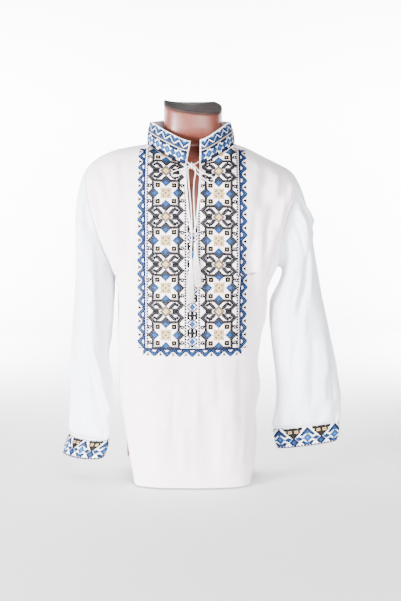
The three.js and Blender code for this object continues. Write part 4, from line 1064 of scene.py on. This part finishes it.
COLLAR_START = 0.5               # where the repeat is counted from, as a share of the length
COLLAR_LINES = {0: "navy", 13: "charcoal", 15: "taupe", 16: "navy"}


def collar_chart(x, y):
    """Threads of the collar at cells x along it and y over its seam: a row of diamonds, light and
    dark dividing lines, and a row of nested chevrons, under a white top edge."""
    threads = np.zeros(np.broadcast(x, y).shape, dtype=int)
    for part in COLLAR_CHART:
        painted = paint(part["strokes"], folded(x, *part["repeat"]), y)
        threads = np.where((y >= part["from"]) & (y <= part["to"]), painted, threads)
    for row, name in COLLAR_LINES.items():
        threads = np.where(y == row, THREADS.index(name), threads)
    return threads


# Cuff: half of the repeat, drawn between the rows of the teeth at its lower and upper edge.
CUFF_REPEAT = (32, 0)
CUFF_CELLS = 23
CUFF_START = 0.25
CUFF_TEETH = (1, 22)
CUFF_CHART = strokes([
    (11.5, DIAMOND, 0, 9.5, "navy"), (8.6, DIAMOND, 0, 9.5, "blue"),
    (1.0, DISC, 1.4, 14, 5.4, 10.4, 8.4, 11.6, "bare"), (1.0, DISC, 1.4, 5, 4.6, 7.6, 7.6, 6.4, "bare"),
    (2.2, DIAMOND, 0, 9.5, "sky"), (8.4, DIAMOND, 16, 17, "charcoal"), (1.7, SQUARE, 12.6, 17, "cream"),
    (0.6, SQUARE, 12.6, 17, "black"), (1.6, DISC, 7, 20.4, 9, 20.4, "charcoal"),
    (5.4, DIAMOND, 16, 5, "navy"), (2.4, DIAMOND, 16, 5, "blue"), (0.9, DISC, 10.4, 7.4, 12.6, 9.6, "blue"),
])


def cuff_chart(x, y):
    """Threads of a cuff at cells x round it and y over its lower edge: curled horns about a
    diamond and pairs of squares, between toothed edges, with a white stretch on top."""
    low, high = CUFF_TEETH
    threads = np.where((y > low) & (y < high), paint(CUFF_CHART, folded(x, *CUFF_REPEAT), y), 0)
    edge = (y == 0) | (np.isin(y, CUFF_TEETH) & (x % 4 < 2))
    return np.where(edge, THREADS.index("navy"), threads)


# A stitch's arm: stations from corner to corner, the thread's height over the cloth and its share
# of the full width at each; then in mm how far its edges reach into the cloth and how much higher
# the upper arm lies, and the arm's half length as a share of the pitch.
STITCH_ARM = tuple(zip((-1.0, 0.0, 1.0), (0.36, 0.6, 0.36), (0.88, 1.0, 0.88)))
STITCH_SINK = 0.04
STITCH_LIFT = 0.14
STITCH_REACH = 0.68
OPEN_BAND = (1.5, 2)             # an open band's cells left bare at each end, and how many fewer
FIRST_ROW = 0.8                  # cells from a band's edge to the middle of its first row,
LAST_ROW = 0.6                   # and from its last row's to the other edge


def cross_stitches(name, threads, place, normal, across, up, pitch, width):
    """One mesh of cross stitches: for each, two arms from corner to corner, each arm a ridge of
    three stations with its top along the middle and its edges in the cloth."""
    count = len(threads)
    points = np.empty((count, 2, 3, 3, 3))
    for arm, sign in enumerate((1, -1)):
        along = unit(up + sign * across)
        beside = np.cross(normal, along)
        for k, (station, high, full) in enumerate(STITCH_ARM):
            middle = place + along * (STITCH_REACH * pitch * station)
            for edge, off in enumerate((-1, 0, 1)):
                rise = -STITCH_SINK if off else high + STITCH_LIFT * arm
                points[:, arm, k, edge] = middle + beside * (width / 2 * full * off) + normal * rise
    ids = grid_ids(points)
    faces = np.stack([ids[..., :-1, :-1], ids[..., :-1, 1:], ids[..., 1:, 1:], ids[..., 1:, :-1]], -1)
    made = mesh_object(name, points.reshape(-1, 3), faces.reshape(-1, 4)[:, ::-1])
    used = np.unique(threads)
    slots = np.searchsorted(used, np.repeat(threads, faces.size // (4 * count))).astype(np.int32)
    for index in used:
        made.data.materials.append(THREAD_MATERIALS[THREADS[index]])
    made.data.polygons.foreach_set("material_index", slots)
    return made


def bib_stitches(halves, pitch, width):
    """Stitches of the bib, a mesh for each side: each chart column runs straight up the panel, its
    cells evenly along the cloth, and ends at the neckline or where the slit cuts it."""
    made = []
    rows = np.linspace(BIB["from"], BIB["to"], 420)
    t = armhole_share(rows)
    slit = slit_half(t)
    steps = np.arange(BORDER["under"] - BORDER["deep"], BIB["rows"])
    for side, half in zip(SIDES, halves):
        cells = {"x": [], "y": [], "column": [], "row": []}
        edge = panel_edge(FRONT, side, level_at(FRONT, rows), t)
        for x in range(-BIB["half"], BIB["half"] + 1):
            offset = BIB["middle"] + x * pitch
            if offset * SIGN[side] < 0:
                continue
            share = np.maximum(abs(offset) - slit, 0) / (edge - slit)
            path = panel_place(FRONT, side, share, rows)
            along = lengths(path, 0)
            start = np.interp(BIB["bottom"], path[:, 2], along)
            at = start + steps * pitch
            row = np.interp(at, along, rows)
            opened = np.interp(row, rows, slit)
            fits = (at < along[-1] - pitch) & ((opened <= 0) | (opened + BIB["clear"] < abs(offset)))
            row = row[fits]
            cells["x"].append(np.full(len(row), x))
            cells["y"].append(steps[fits])
            cells["row"].append(row)
            cells["column"].append(share_column(FRONT, side, np.interp(row, rows, share)))
        cells = {name: np.concatenate(values) for name, values in cells.items()}
        threads = bib_chart(cells["x"], cells["y"])
        chosen = threads > 0
        where = sample(half, cells["column"][chosen], cells["row"][chosen])
        made.append(cross_stitches(f"bib_stitches_{side}", threads[chosen], *where, pitch, width))
    return made


def band_stitches(name, grid, chart, rows, start, pitch, width, upwards):
    """Stitches of a collar or cuff: cells in even steps along the band's middle line, counted from
    a share of it, and across it, as the chart says."""
    points, columns = wrapped(grid)
    along = lengths(points[len(points) // 2], 0)
    bare, fewer = (0, 0) if grid["closed"] else OPEN_BAND
    count = int(along[-1] / pitch) - fewer
    first = bare * pitch
    at = first + (np.arange(count) + 0.5) * (along[-1] - 2 * first) / count
    column = np.interp(at, along, columns)
    up = lengths(grid["points"], 0)
    x, y = np.meshgrid(np.arange(count) - int(start * count), np.arange(rows), indexing="ij")
    full = np.interp(column, grid["column"], up[-1])[:, None]
    share = (y + FIRST_ROW) * pitch / full
    nearest = np.clip(np.searchsorted(grid["column"], column), 0, len(grid["column"]) - 1)
    row = np.empty(share.shape)
    for i, place in enumerate(nearest):
        row[i] = np.interp((share[i] if upwards else 1 - share[i]) * up[-1, place], up[:, place], grid["row"])
    threads = chart(x, y)
    chosen = (threads > 0) & (share < 1 - LAST_ROW * pitch / full)
    where = sample(grid, np.broadcast_to(column[:, None], row.shape)[chosen], row[chosen])
    return cross_stitches(name, threads[chosen], *where, pitch, width)


# ------------------------------------------------------------------ tubes
PLY_WAIST = 0.74                 # half thickness between a cord's two plies, as a share of its radius


def between(t, low, high, start, end):
    """Place at t on a straight line that leaves start at low and reaches end at high."""
    return (high - t) / (high - low) * start + (t - low) / (high - low) * end


def smooth_route(points, step):
    """A smooth curve through a route's points, centripetal, in steps of about a given length."""
    ends = [2 * points[0] - points[1], *points, 2 * points[-1] - points[-2]]
    made = []
    for before, start, end, after in zip(ends, ends[1:], ends[2:], ends[3:]):
        knots = np.cumsum([0, *(np.sqrt(np.linalg.norm(b - a)) for a, b in
                                ((before, start), (start, end), (end, after)))])
        count = max(int(np.linalg.norm(end - start) / step), 2)
        t = np.linspace(knots[1], knots[2], count, endpoint=False)[:, None]
        k0, k1, k2, k3 = knots
        first, second = between(t, k0, k1, before, start), between(t, k1, k2, start, end)
        third = between(t, k2, k3, end, after)
        low, high = between(t, k0, k2, first, second), between(t, k1, k3, second, third)
        made.append(between(t, k1, k2, low, high))
    return np.concatenate([*made, points[-1:]])


def route_frames(route, closed=False):
    """Directions along a route and two across it that turn as little as they can."""
    if closed:
        along = unit(np.roll(route, -1, 0) - np.roll(route, 1, 0))
    else:
        along = unit(np.gradient(route, axis=0))
    side = np.empty_like(route)
    first = np.cross(along[0], (0.3, 1, 0.2))
    side[0] = first / np.linalg.norm(first)
    for i in range(1, len(route)):
        carried = side[i - 1] - along[i] * (side[i - 1] @ along[i])
        side[i] = carried / np.linalg.norm(carried)
    return side, np.cross(along, side)


def tube(name, route, radius, sides, twist=0.0, closed=False):
    """Tube along a route. With a twist, in turns per mm, its section is that of two plies laid
    side by side, turned along the route."""
    side, other = route_frames(route, closed)
    angle = 2 * np.pi * np.arange(sides) / sides
    reach = radius * np.ones((len(route), sides))
    if twist:
        turned = angle - 2 * np.pi * twist * lengths(route, 0)[:, None]
        reach *= PLY_WAIST + (1 - PLY_WAIST) * np.abs(np.cos(turned))
    ring = np.cos(angle)[None, :, None] * side[:, None] + np.sin(angle)[None, :, None] * other[:, None]
    points = route[:, None] + ring * reach[..., None]
    if not closed:
        return capped(name, points, round_ends=True)
    ids = grid_ids(points)
    return mesh_object(name, points.reshape(-1, 3), quads(np.concatenate([ids, ids[:1]]), closed=True))


# ------------------------------------------------------------------ tassels
def front_depth(x, z):
    """Front panel's depth at (x, z), on its plain form."""
    side = "right" if x < 0 else "left"
    rows = np.linspace(0, TOP_ROW, 600)
    path = panel_place(FRONT, side, np.full(rows.shape, abs(x) / CHEST_HALF), rows)
    return np.interp(z, path[:, 2], path[:, 1])


def flat_ring(sides):
    """Level ring of radius 1 about the origin."""
    angle = 2 * np.pi * np.arange(sides) / sides
    return np.stack([np.cos(angle), np.sin(angle), 0 * angle], -1)


def tassel_spine(side, s):
    """Middle of a tassel at shares of its length, in front of the panel."""
    place = TASSELS[side]
    x = place["x"] + (place["end_x"] - place["x"]) * s * s
    z = place["z"] - (place["z"] - place["end_z"]) * s
    y = np.array([front_depth(a, b) for a, b in zip(x, z)]) - TASSEL["lift"]
    return np.stack([x, y, z], -1)


def tassel_mesh(side):
    """Tassel: a bound head, turned as a ribbed bead, and strands that spread out under it; each
    strand is a three-sided tube that wavers by a small sine of its own."""
    place = TASSELS[side]
    head_share = TASSEL["head_high"] / (place["z"] - place["end_z"])
    i = np.arange(TASSEL["strands"])[:, None]
    spread = np.sqrt((i + 0.5) / TASSEL["strands"])
    angle = i * np.pi * (3 - np.sqrt(5))
    ends = 1 - 0.1 * ((i * 7) % 11) / 10
    s = head_share * 0.7 + (ends - head_share * 0.7) * np.linspace(0, 1, TASSEL["stations"])
    opened = smooth((s - head_share * 0.5) * 1.6)
    bound = TASSEL["head"] * 0.72
    waver = np.sin(9 * s + i * 1.7) * 0.7 * opened
    grid = np.linspace(0, 1, 60)
    spine = tassel_spine(side, grid)
    middle = np.stack([np.interp(s, grid, values) for values in spine.T], -1)
    middle[..., 0] += (bound + (TASSEL["wide"] - bound) * opened) * spread * np.cos(angle) + waver
    middle[..., 1] += (bound + (TASSEL["deep"] - bound) * opened) * spread * np.sin(angle) + 0.4 * waver
    thin = TASSEL["strand"] * np.linspace(1.15, 0.55, TASSEL["stations"])
    strands = middle[:, :, None] + flat_ring(3) * thin[:, None, None]
    ids = grid_ids(strands)
    ids = np.concatenate([ids, ids[..., :1]], -1)
    faces = np.stack([ids[:, :-1, 1:], ids[:, :-1, :-1], ids[:, 1:, :-1], ids[:, 1:, 1:]], -1)
    h = np.linspace(0, 1, TASSEL["head_rows"])
    profile = np.interp(h, HEAD["h"], HEAD["reach"]) * (1 + 0.07 * np.abs(np.sin(np.pi * TASSEL["ribs"] * h)))
    ring = flat_ring(TASSEL["head_sides"]) * (profile * TASSEL["head"])[:, None, None]
    head = tassel_spine(side, h * head_share)[:, None] + ring
    head_faces = quads(grid_ids(head, strands.size // 3), closed=True, flip=True)
    points = np.concatenate([strands.reshape(-1, 3), head.reshape(-1, 3)])
    return mesh_object(f"tassel_{side}_strands", points, np.concatenate([faces.reshape(-1, 4), head_faces]))


# ------------------------------------------------------------------ torso form
def cut_height(x, y):
    """Height of the neck's cut: level behind, sloped towards the front and the left."""
    return np.minimum(NECK_TOP, NECK_CUT["middle"] + NECK_CUT["across"] * x
                      + NECK_CUT["deep"] * (y - FORM_MIDDLE))


def form_place(level, angle, drop):
    """Point of the form at a level and an angle from the left side: a superellipse whose front
    and back halves differ in depth; the neck's levels bend towards the cut."""
    half = read(FORM, "z", level, "half")
    front = FORM_MIDDLE - read(FORM, "z", level, "front")
    back = read(FORM, "z", level, "back") - FORM_MIDDLE
    bent = [np.sign(v) * np.abs(v) ** (2 / FORM_ROUND) for v in (np.cos(angle), np.sin(angle))]
    x = half * bent[0]
    y = FORM_MIDDLE + bent[1] * np.where(bent[1] < 0, front, back)
    up = np.maximum(level - NECK_BASE, 0) / (NECK_TOP - NECK_BASE)
    z = np.minimum(level, NECK_BASE) + up * (cut_height(x, y) - drop - NECK_BASE)
    return np.stack([x, y, z], -1)


def form_grid():
    """The torso form's skin, with the neck's tendons, hollows and notch as soft bumps."""
    levels = np.concatenate([np.linspace(0, 660, 56)[:-1], np.linspace(660, NECK_TOP, 60)])
    level, angle = np.meshgrid(levels, FORM_ANGLES, indexing="ij")
    plain = form_place(level, angle, CAP_THICK + SEAM)
    normals = grid_normals(plain, closed=True)
    degrees = (np.degrees(angle) + 90 + 180) % 360 - 180
    height = np.zeros(level.shape)
    for turn, z, wide, tall, rise in zip(*NECK_RELIEF.values()):
        away = np.hypot((degrees - turn) / wide, (level - z) / tall)
        height += rise * np.exp(-away**2)
    height *= smooth((NECK_TOP - level) / 6)
    return plain + normals * height[..., None]


# ------------------------------------------------------------------ settings
def length_property(label, description, default):
    """Setting that is a length, given in mm."""
    return bpy.props.FloatProperty(
        name=label, description=description, default=default * MM, unit="LENGTH", precision=5)


class ClothSettings(bpy.types.PropertyGroup):
    """How the linen lies."""

    crease: bpy.props.FloatProperty(
        name="Creases", description="How strong the small creases are", default=1.7, min=0, max=3)
    wall: length_property("Linen", "Thickness of the linen", CLOTH)
    band: length_property("Bands", "Thickness of the collar and cuffs", BAND)


class StitchSettings(bpy.types.PropertyGroup):
    """Size of the cross stitches."""

    pitch: length_property("Pitch", "Side of one cross stitch", PITCH)
    width: length_property("Thread", "Width of a thread in a stitch", THREAD_WIDTH)


class CordSettings(bpy.types.PropertyGroup):
    """Make of the tie cords."""

    twist: length_property("Twist", "Length of one full turn of the cord's two plies", CORD_TURN)


# ------------------------------------------------------------------ operators
STATE = {}                       # grids and objects of the panels, which later pieces need
THREAD_MATERIALS = {}


class Piece:
    """What the operators share."""

    bl_options = {"REGISTER", "UNDO"}

    def execute(self, context):
        self.build(context.scene)
        return {"FINISHED"}


CAMERA = {"sensor_width": 36, "lens": 55.4, "shift_x": 0.0125, "shift_y": -0.1666}   # in mm and shares
CAMERA_PLACE = (0, -2.1, 0.62)   # in metres


class SHIRT_OT_camera(Piece, bpy.types.Operator):
    """Camera in front, level, with a shift that sets the object in the middle of its frame."""

    bl_idname = "shirt.camera"
    bl_label = "Camera"

    def build(self, scene):
        data = bpy.data.cameras.new("camera")
        for name, value in CAMERA.items():
            setattr(data, name, value)
        camera = bpy.data.objects.new("camera", data)
        camera.location = CAMERA_PLACE
        camera.rotation_euler = (np.pi / 2, 0, 0)
        scene.collection.objects.link(camera)
        scene.camera = camera


class SHIRT_OT_cords(Piece, bpy.types.Operator):
    """Tie cords as two-ply tubes along their routes, the knot's turn as a ring of the same make,
    and the tassels on the cords' ends."""

    bl_idname = "shirt.cords"
    bl_label = "Tie cords, knot and tassels"

    def build(self, scene):
        cotton = finish("cotton", "twisted cotton", "#fbf6f6", "#dfd3d4")
        fringe = finish("cotton", "fluffy cotton", "#fdf9f8", "#e6dcdc")
        turn = scene.shirt_cord.twist / MM
        ring = KNOT["radius"] * np.roll(flat_ring(KNOT["steps"]), 1, 1) + KNOT["middle"]
        knot = tube("knot_turn", ring, KNOT["section"], CORD_SIDES, closed=True)
        keep(knot, "tie_knot", cotton)
        for side in SIDES:
            core = tassel_spine(side, np.array(TASSEL_CORE))
            route = smooth_route(np.concatenate([CORDS[side], core]), ROUTE_STEP)
            cord = tube(f"cord_{side}", route, CORD / 2, CORD_SIDES, twist=1 / turn)
            keep(cord, f"tie_cord_{side}", cotton)
            tassel = keep(tassel_mesh(side), f"tassel_{side}", fringe)
            lengths(route, 0)[-1] * MM


class SHIRT_OT_form(Piece, bpy.types.Operator):
    """Torso form of gloss plastic and the satin cap on its cut neck, both closed skins through
    superellipses."""

    bl_idname = "shirt.form"
    bl_label = "Torso form and neck cap"

    def build(self, scene):
        form = capped("form_body", form_grid())
        keep(form, "torso_form", finish("gloss", "gloss plastic", "#6c3b30", "#592e25"))
        rings = []
        for drop, inward in CAP_EDGE:
            ring = form_place(np.full(FORM_SIDES, float(NECK_TOP)), FORM_ANGLES, drop)
            rings.append(ring + unit(ring.mean(0) - ring) * inward)
        cap = capped("cap_plate", np.array(rings))
        # The cap's near-black colours are partly its own dark finish and partly painted shade, for the shadow
        # that lies over the top of the neck.
        keep(cap, "neck_cap", finish("satin", "satin plastic darkened as painted shade", "#362b28", "#2b2220"))


class SHIRT_OT_panels(Piece, bpy.types.Operator):
    """Front and back panels: two halves each, joined down the middle under the neck slit."""

    bl_idname = "shirt.panels"
    bl_label = "Front and back panels"

    def build(self, scene):
        cloth = scene.shirt_cloth
        # The torso linen is pinker than the sleeves' linen. This tint is painted light: the skin-coloured
        # form showing through the thin cloth.
        weave = linen("torso linen with form painted through", "#f6ecf0", "#e4d4da")
        for name, panel in (("front", FRONT), ("back", BACK)):
            halves = [panel_half(name, panel, side, cloth.crease) for side in SIDES]
            middle = (halves[0]["points"][:, 0] + halves[1]["points"][:, 0]) / 2
            joined = (slit_half(armhole_share(PANEL_ROWS)) <= 0) | (not panel["slit"])
            for half in halves:
                half["points"][joined, 0] = middle[joined]
            STATE[name] = halves
            points = np.array([half["points"] for half in halves])
            ids = grid_ids(points)
            ids[1][joined, 0] = ids[0][joined, 0]
            faces = np.concatenate([quads(each, flip=half["flip"]) for each, half in zip(ids, halves)])
            flats = [flat_lengths(half) for half in halves]
            flats[0][..., 0] *= -1
            uv = np.concatenate([flat.reshape(-1, 2) for flat in flats])
            made = thicken(mesh_object(f"{name}_linen", points.reshape(-1, 3), faces, uv), cloth.wall / MM)
            STATE[f"{name}_linen"] = keep(made, f"{name}_panel", weave)


def declare(grids):
    """Measures a cloth piece that lies in grids side by side: the widest rows added up, all round on a tube,
    and the longest column. The lengths are not used."""
    points = [wrapped(grid)[0] for grid in grids]
    width = sum(lengths(each, 1)[:, -1].max() for each in points) * MM
    length = max(lengths(each, 0)[-1].max() for each in points) * MM


def grid_object(name, grid, thickness):
    """A shell from a grid."""
    faces = quads(grid_ids(grid["points"]), closed=grid["closed"], flip=grid["flip"])
    uv = flat_lengths(grid).reshape(-1, 2)
    return thicken(mesh_object(name, grid["points"].reshape(-1, 3), faces, uv), thickness)


class SHIRT_OT_sleeves(Piece, bpy.types.Operator):
    """Sleeves: curves from the armhole to flattened rings down to the cuff."""

    bl_idname = "shirt.sleeves"
    bl_label = "Sleeves"

    def build(self, scene):
        cloth = scene.shirt_cloth
        weave = linen("sleeve linen", "#f1f4fb", "#d8dce8")
        for side in SIDES:
            grid = sleeve_grid(side, cloth.crease)
            made = grid_object(f"sleeve_{side}_linen", grid, cloth.wall / MM)
            keep(made, f"sleeve_{side}", weave)
            declare([grid])


class SHIRT_OT_bands(Piece, bpy.types.Operator):
    """Cuffs and stand collar, two layers thick, with the stitches on them."""

    bl_idname = "shirt.bands"
    bl_label = "Cuffs and collar"

    def build(self, scene):
        cloth, stitch = scene.shirt_cloth, scene.shirt_stitch
        pitch, width = stitch.pitch / MM, stitch.width / MM
        weave = linen("band linen", "#f1eff2", "#d9d6db", 0.7)
        bands = [(f"cuff_{side}", cuff_grid(side), (cuff_chart, CUFF_CELLS, CUFF_START), False,
                  [f"sleeve_{side}_linen"]) for side in SIDES]
        bands.append(("collar", collar_grid(STATE["front"], STATE["back"]),
                      (collar_chart, COLLAR_CELLS, COLLAR_START), True, ["front_linen", "back_linen"]))
        for node, grid, chart, upwards, rests_on in bands:
            made = grid_object(f"{node}_band", grid, cloth.band / MM)
            keep(made, node, weave)
            work = band_stitches(f"{node}_stitches", grid, *chart, pitch, width, upwards)
            keep(work, None)
            declare([grid])


class SHIRT_OT_bib(Piece, bpy.types.Operator):
    """Stitches of the bib, the slit's edging over the panel's edges, and lengths of the front and back panels
    that are not used."""

    bl_idname = "shirt.bib"
    bl_label = "Bib and slit edging"

    def build(self, scene):
        stitch = scene.shirt_stitch
        work = bib_stitches(STATE["front"], stitch.pitch / MM, stitch.width / MM)
        for made in work:
            keep(made, None)
        weave = linen("edging linen", "#faf7f8", "#e6e0e4")
        for side, half in zip(SIDES, STATE["front"]):
            made = self.binding(side, half)
            keep(made, f"slit_binding_{side}", weave)
        declare(STATE["front"])
        declare(STATE["back"])

    def binding(self, side, half):
        """Edging: a flattened half-round strip from the slit's edge, along the panel."""
        rows = HEM_ROWS + np.linspace(BINDING["from"], BINDING["to"], BINDING["steps"])
        edge, normal, across, _ = sample(half, np.full(rows.shape, BINDING["column"]), rows)
        inward = unit(across - normal * (across * normal).sum(-1, keepdims=True))
        angle = np.linspace(0, 2 * np.pi, BINDING["sides"], endpoint=False)
        cos, sin = np.cos(angle), np.sin(angle)
        out = BINDING["width"] / 2 * (1 + np.sign(cos) * np.abs(cos) ** 0.6)
        high = BINDING["thick"] / 2 * (1 + np.sign(sin) * np.abs(sin) ** 0.8) + BINDING["clear"]
        points = edge[:, None] + inward[:, None] * out[:, None] + normal[:, None] * high[:, None]
        uv = np.stack(np.meshgrid(lengths(edge, 0), angle, indexing="ij"), -1)
        faces = quads(grid_ids(points), closed=True, flip=side == "left")
        return mesh_object(f"slit_edging_{side}", points.reshape(-1, 3), faces, uv.reshape(-1, 2))


# Backdrop paper in mm: half width, front and back edges, top, radius of its bend, and how far it
# lies under the foot. Lights in metres: place, aim, size and watts.
PAPER = {"half": 4000, "front": -3200, "back": 3600, "top": 4200, "radius": 1200, "under": 0.5}
LIGHTS = (
    ("key_light", (-2.4, -2.0, 0.3), (0, 0, 0.42), 1.0, 720),
    ("fill_light", (0.9, -2.8, 0.45), (0, 0.2, 0.1), 1.8, 230),
    ("paper_light_right", (-2.0, 1.6, 0.8), (0, 3.6, 1.1), 1.6, 560),
    ("paper_light_left", (2.0, 1.6, 0.8), (0, 3.6, 1.1), 1.6, 560),
)


class SHIRT_OT_stage(Piece, bpy.types.Operator):
    """Pale floor that curves up behind, a key light and a weak fill, both low and in front, two
    lights on the paper behind, and a pale world."""

    bl_idname = "shirt.stage"
    bl_label = "Stage"

    def build(self, scene):
        bend = np.linspace(0, np.pi / 2, 16)
        radius, back = PAPER["radius"], PAPER["back"]
        y = np.concatenate([[PAPER["front"]], back - radius + radius * np.sin(bend), [back]])
        z = np.concatenate([[0], radius - radius * np.cos(bend), [PAPER["top"]]])
        across = np.linspace(-PAPER["half"], PAPER["half"], 9)
        grid = np.stack([np.broadcast_to(values, (len(y), len(across)))
                         for values in (across, y[:, None], z[:, None])], -1) - (0, 0, PAPER["under"])
        ids = grid_ids(grid)
        floor = mesh_object("studio_floor", grid.reshape(-1, 3), quads(ids))
        floor.data.materials.append(studio_paper("backdrop paper", "#fbfbfc"))
        world = bpy.data.worlds.new("studio")
        world.use_nodes = True
        background = world.node_tree.nodes["Background"].inputs
        background["Color"].default_value = colour("#f4f6fa")
        background["Strength"].default_value = 0.45
        scene.world = world
        for name, place, aim, size, power in LIGHTS:
            data = bpy.data.lights.new(name, "AREA")
            data.size = size
            data.energy = power
            light = bpy.data.objects.new(name, data)
            light.location = place
            light.rotation_euler = aim_from(place, aim)
            scene.collection.objects.link(light)


def aim_from(place, aim):
    """Turn that points a light from a place at an aim."""
    x, y, z = np.subtract(aim, place)
    return (np.arctan2(np.hypot(x, y), -z), 0, np.arctan2(y, x) - np.pi / 2)


class SHIRT_PT_panel(bpy.types.Panel):
    """Lists the pieces in the order in which they are made."""

    bl_label = "Folk shirt"
    bl_idname = "SHIRT_PT_panel"
    bl_space_type = "VIEW_3D"
    bl_region_type = "UI"
    bl_category = "Folk shirt"

    def draw(self, context):
        for group in ("shirt_cloth", "shirt_stitch", "shirt_cord"):
            settings = getattr(context.scene, group)
            for name in settings.__annotations__:
                self.layout.prop(settings, name)
        for operator in OPERATORS:
            self.layout.operator(operator.bl_idname)


OPERATORS = (
    SHIRT_OT_camera, SHIRT_OT_cords, SHIRT_OT_form, SHIRT_OT_panels, SHIRT_OT_sleeves,
    SHIRT_OT_bands, SHIRT_OT_bib, SHIRT_OT_stage,
)
SETTINGS = {"shirt_cloth": ClothSettings, "shirt_stitch": StitchSettings, "shirt_cord": CordSettings}


def register():
    """Registers the settings, the operators and the panel."""
    for group in SETTINGS.values():
        bpy.utils.register_class(group)
    for name, group in SETTINGS.items():
        setattr(bpy.types.Scene, name, bpy.props.PointerProperty(type=group))
    for operator in (*OPERATORS, SHIRT_PT_panel):
        bpy.utils.register_class(operator)


def unregister():
    """Removes what register added."""
    for operator in reversed((*OPERATORS, SHIRT_PT_panel)):
        bpy.utils.unregister_class(operator)
    for name in SETTINGS:
        delattr(bpy.types.Scene, name)
    for group in SETTINGS.values():
        bpy.utils.unregister_class(group)


def main():
    """Makes every piece in order."""
    register()
    for name, codes in THREAD_COLOURS.items():
        THREAD_MATERIALS[name] = finish("thread", f"{name} thread", *codes)
    for operator in OPERATORS:
        group, name = operator.bl_idname.split(".")
        getattr(getattr(bpy.ops, group), name)()


if __name__ == "__main__":
    main()
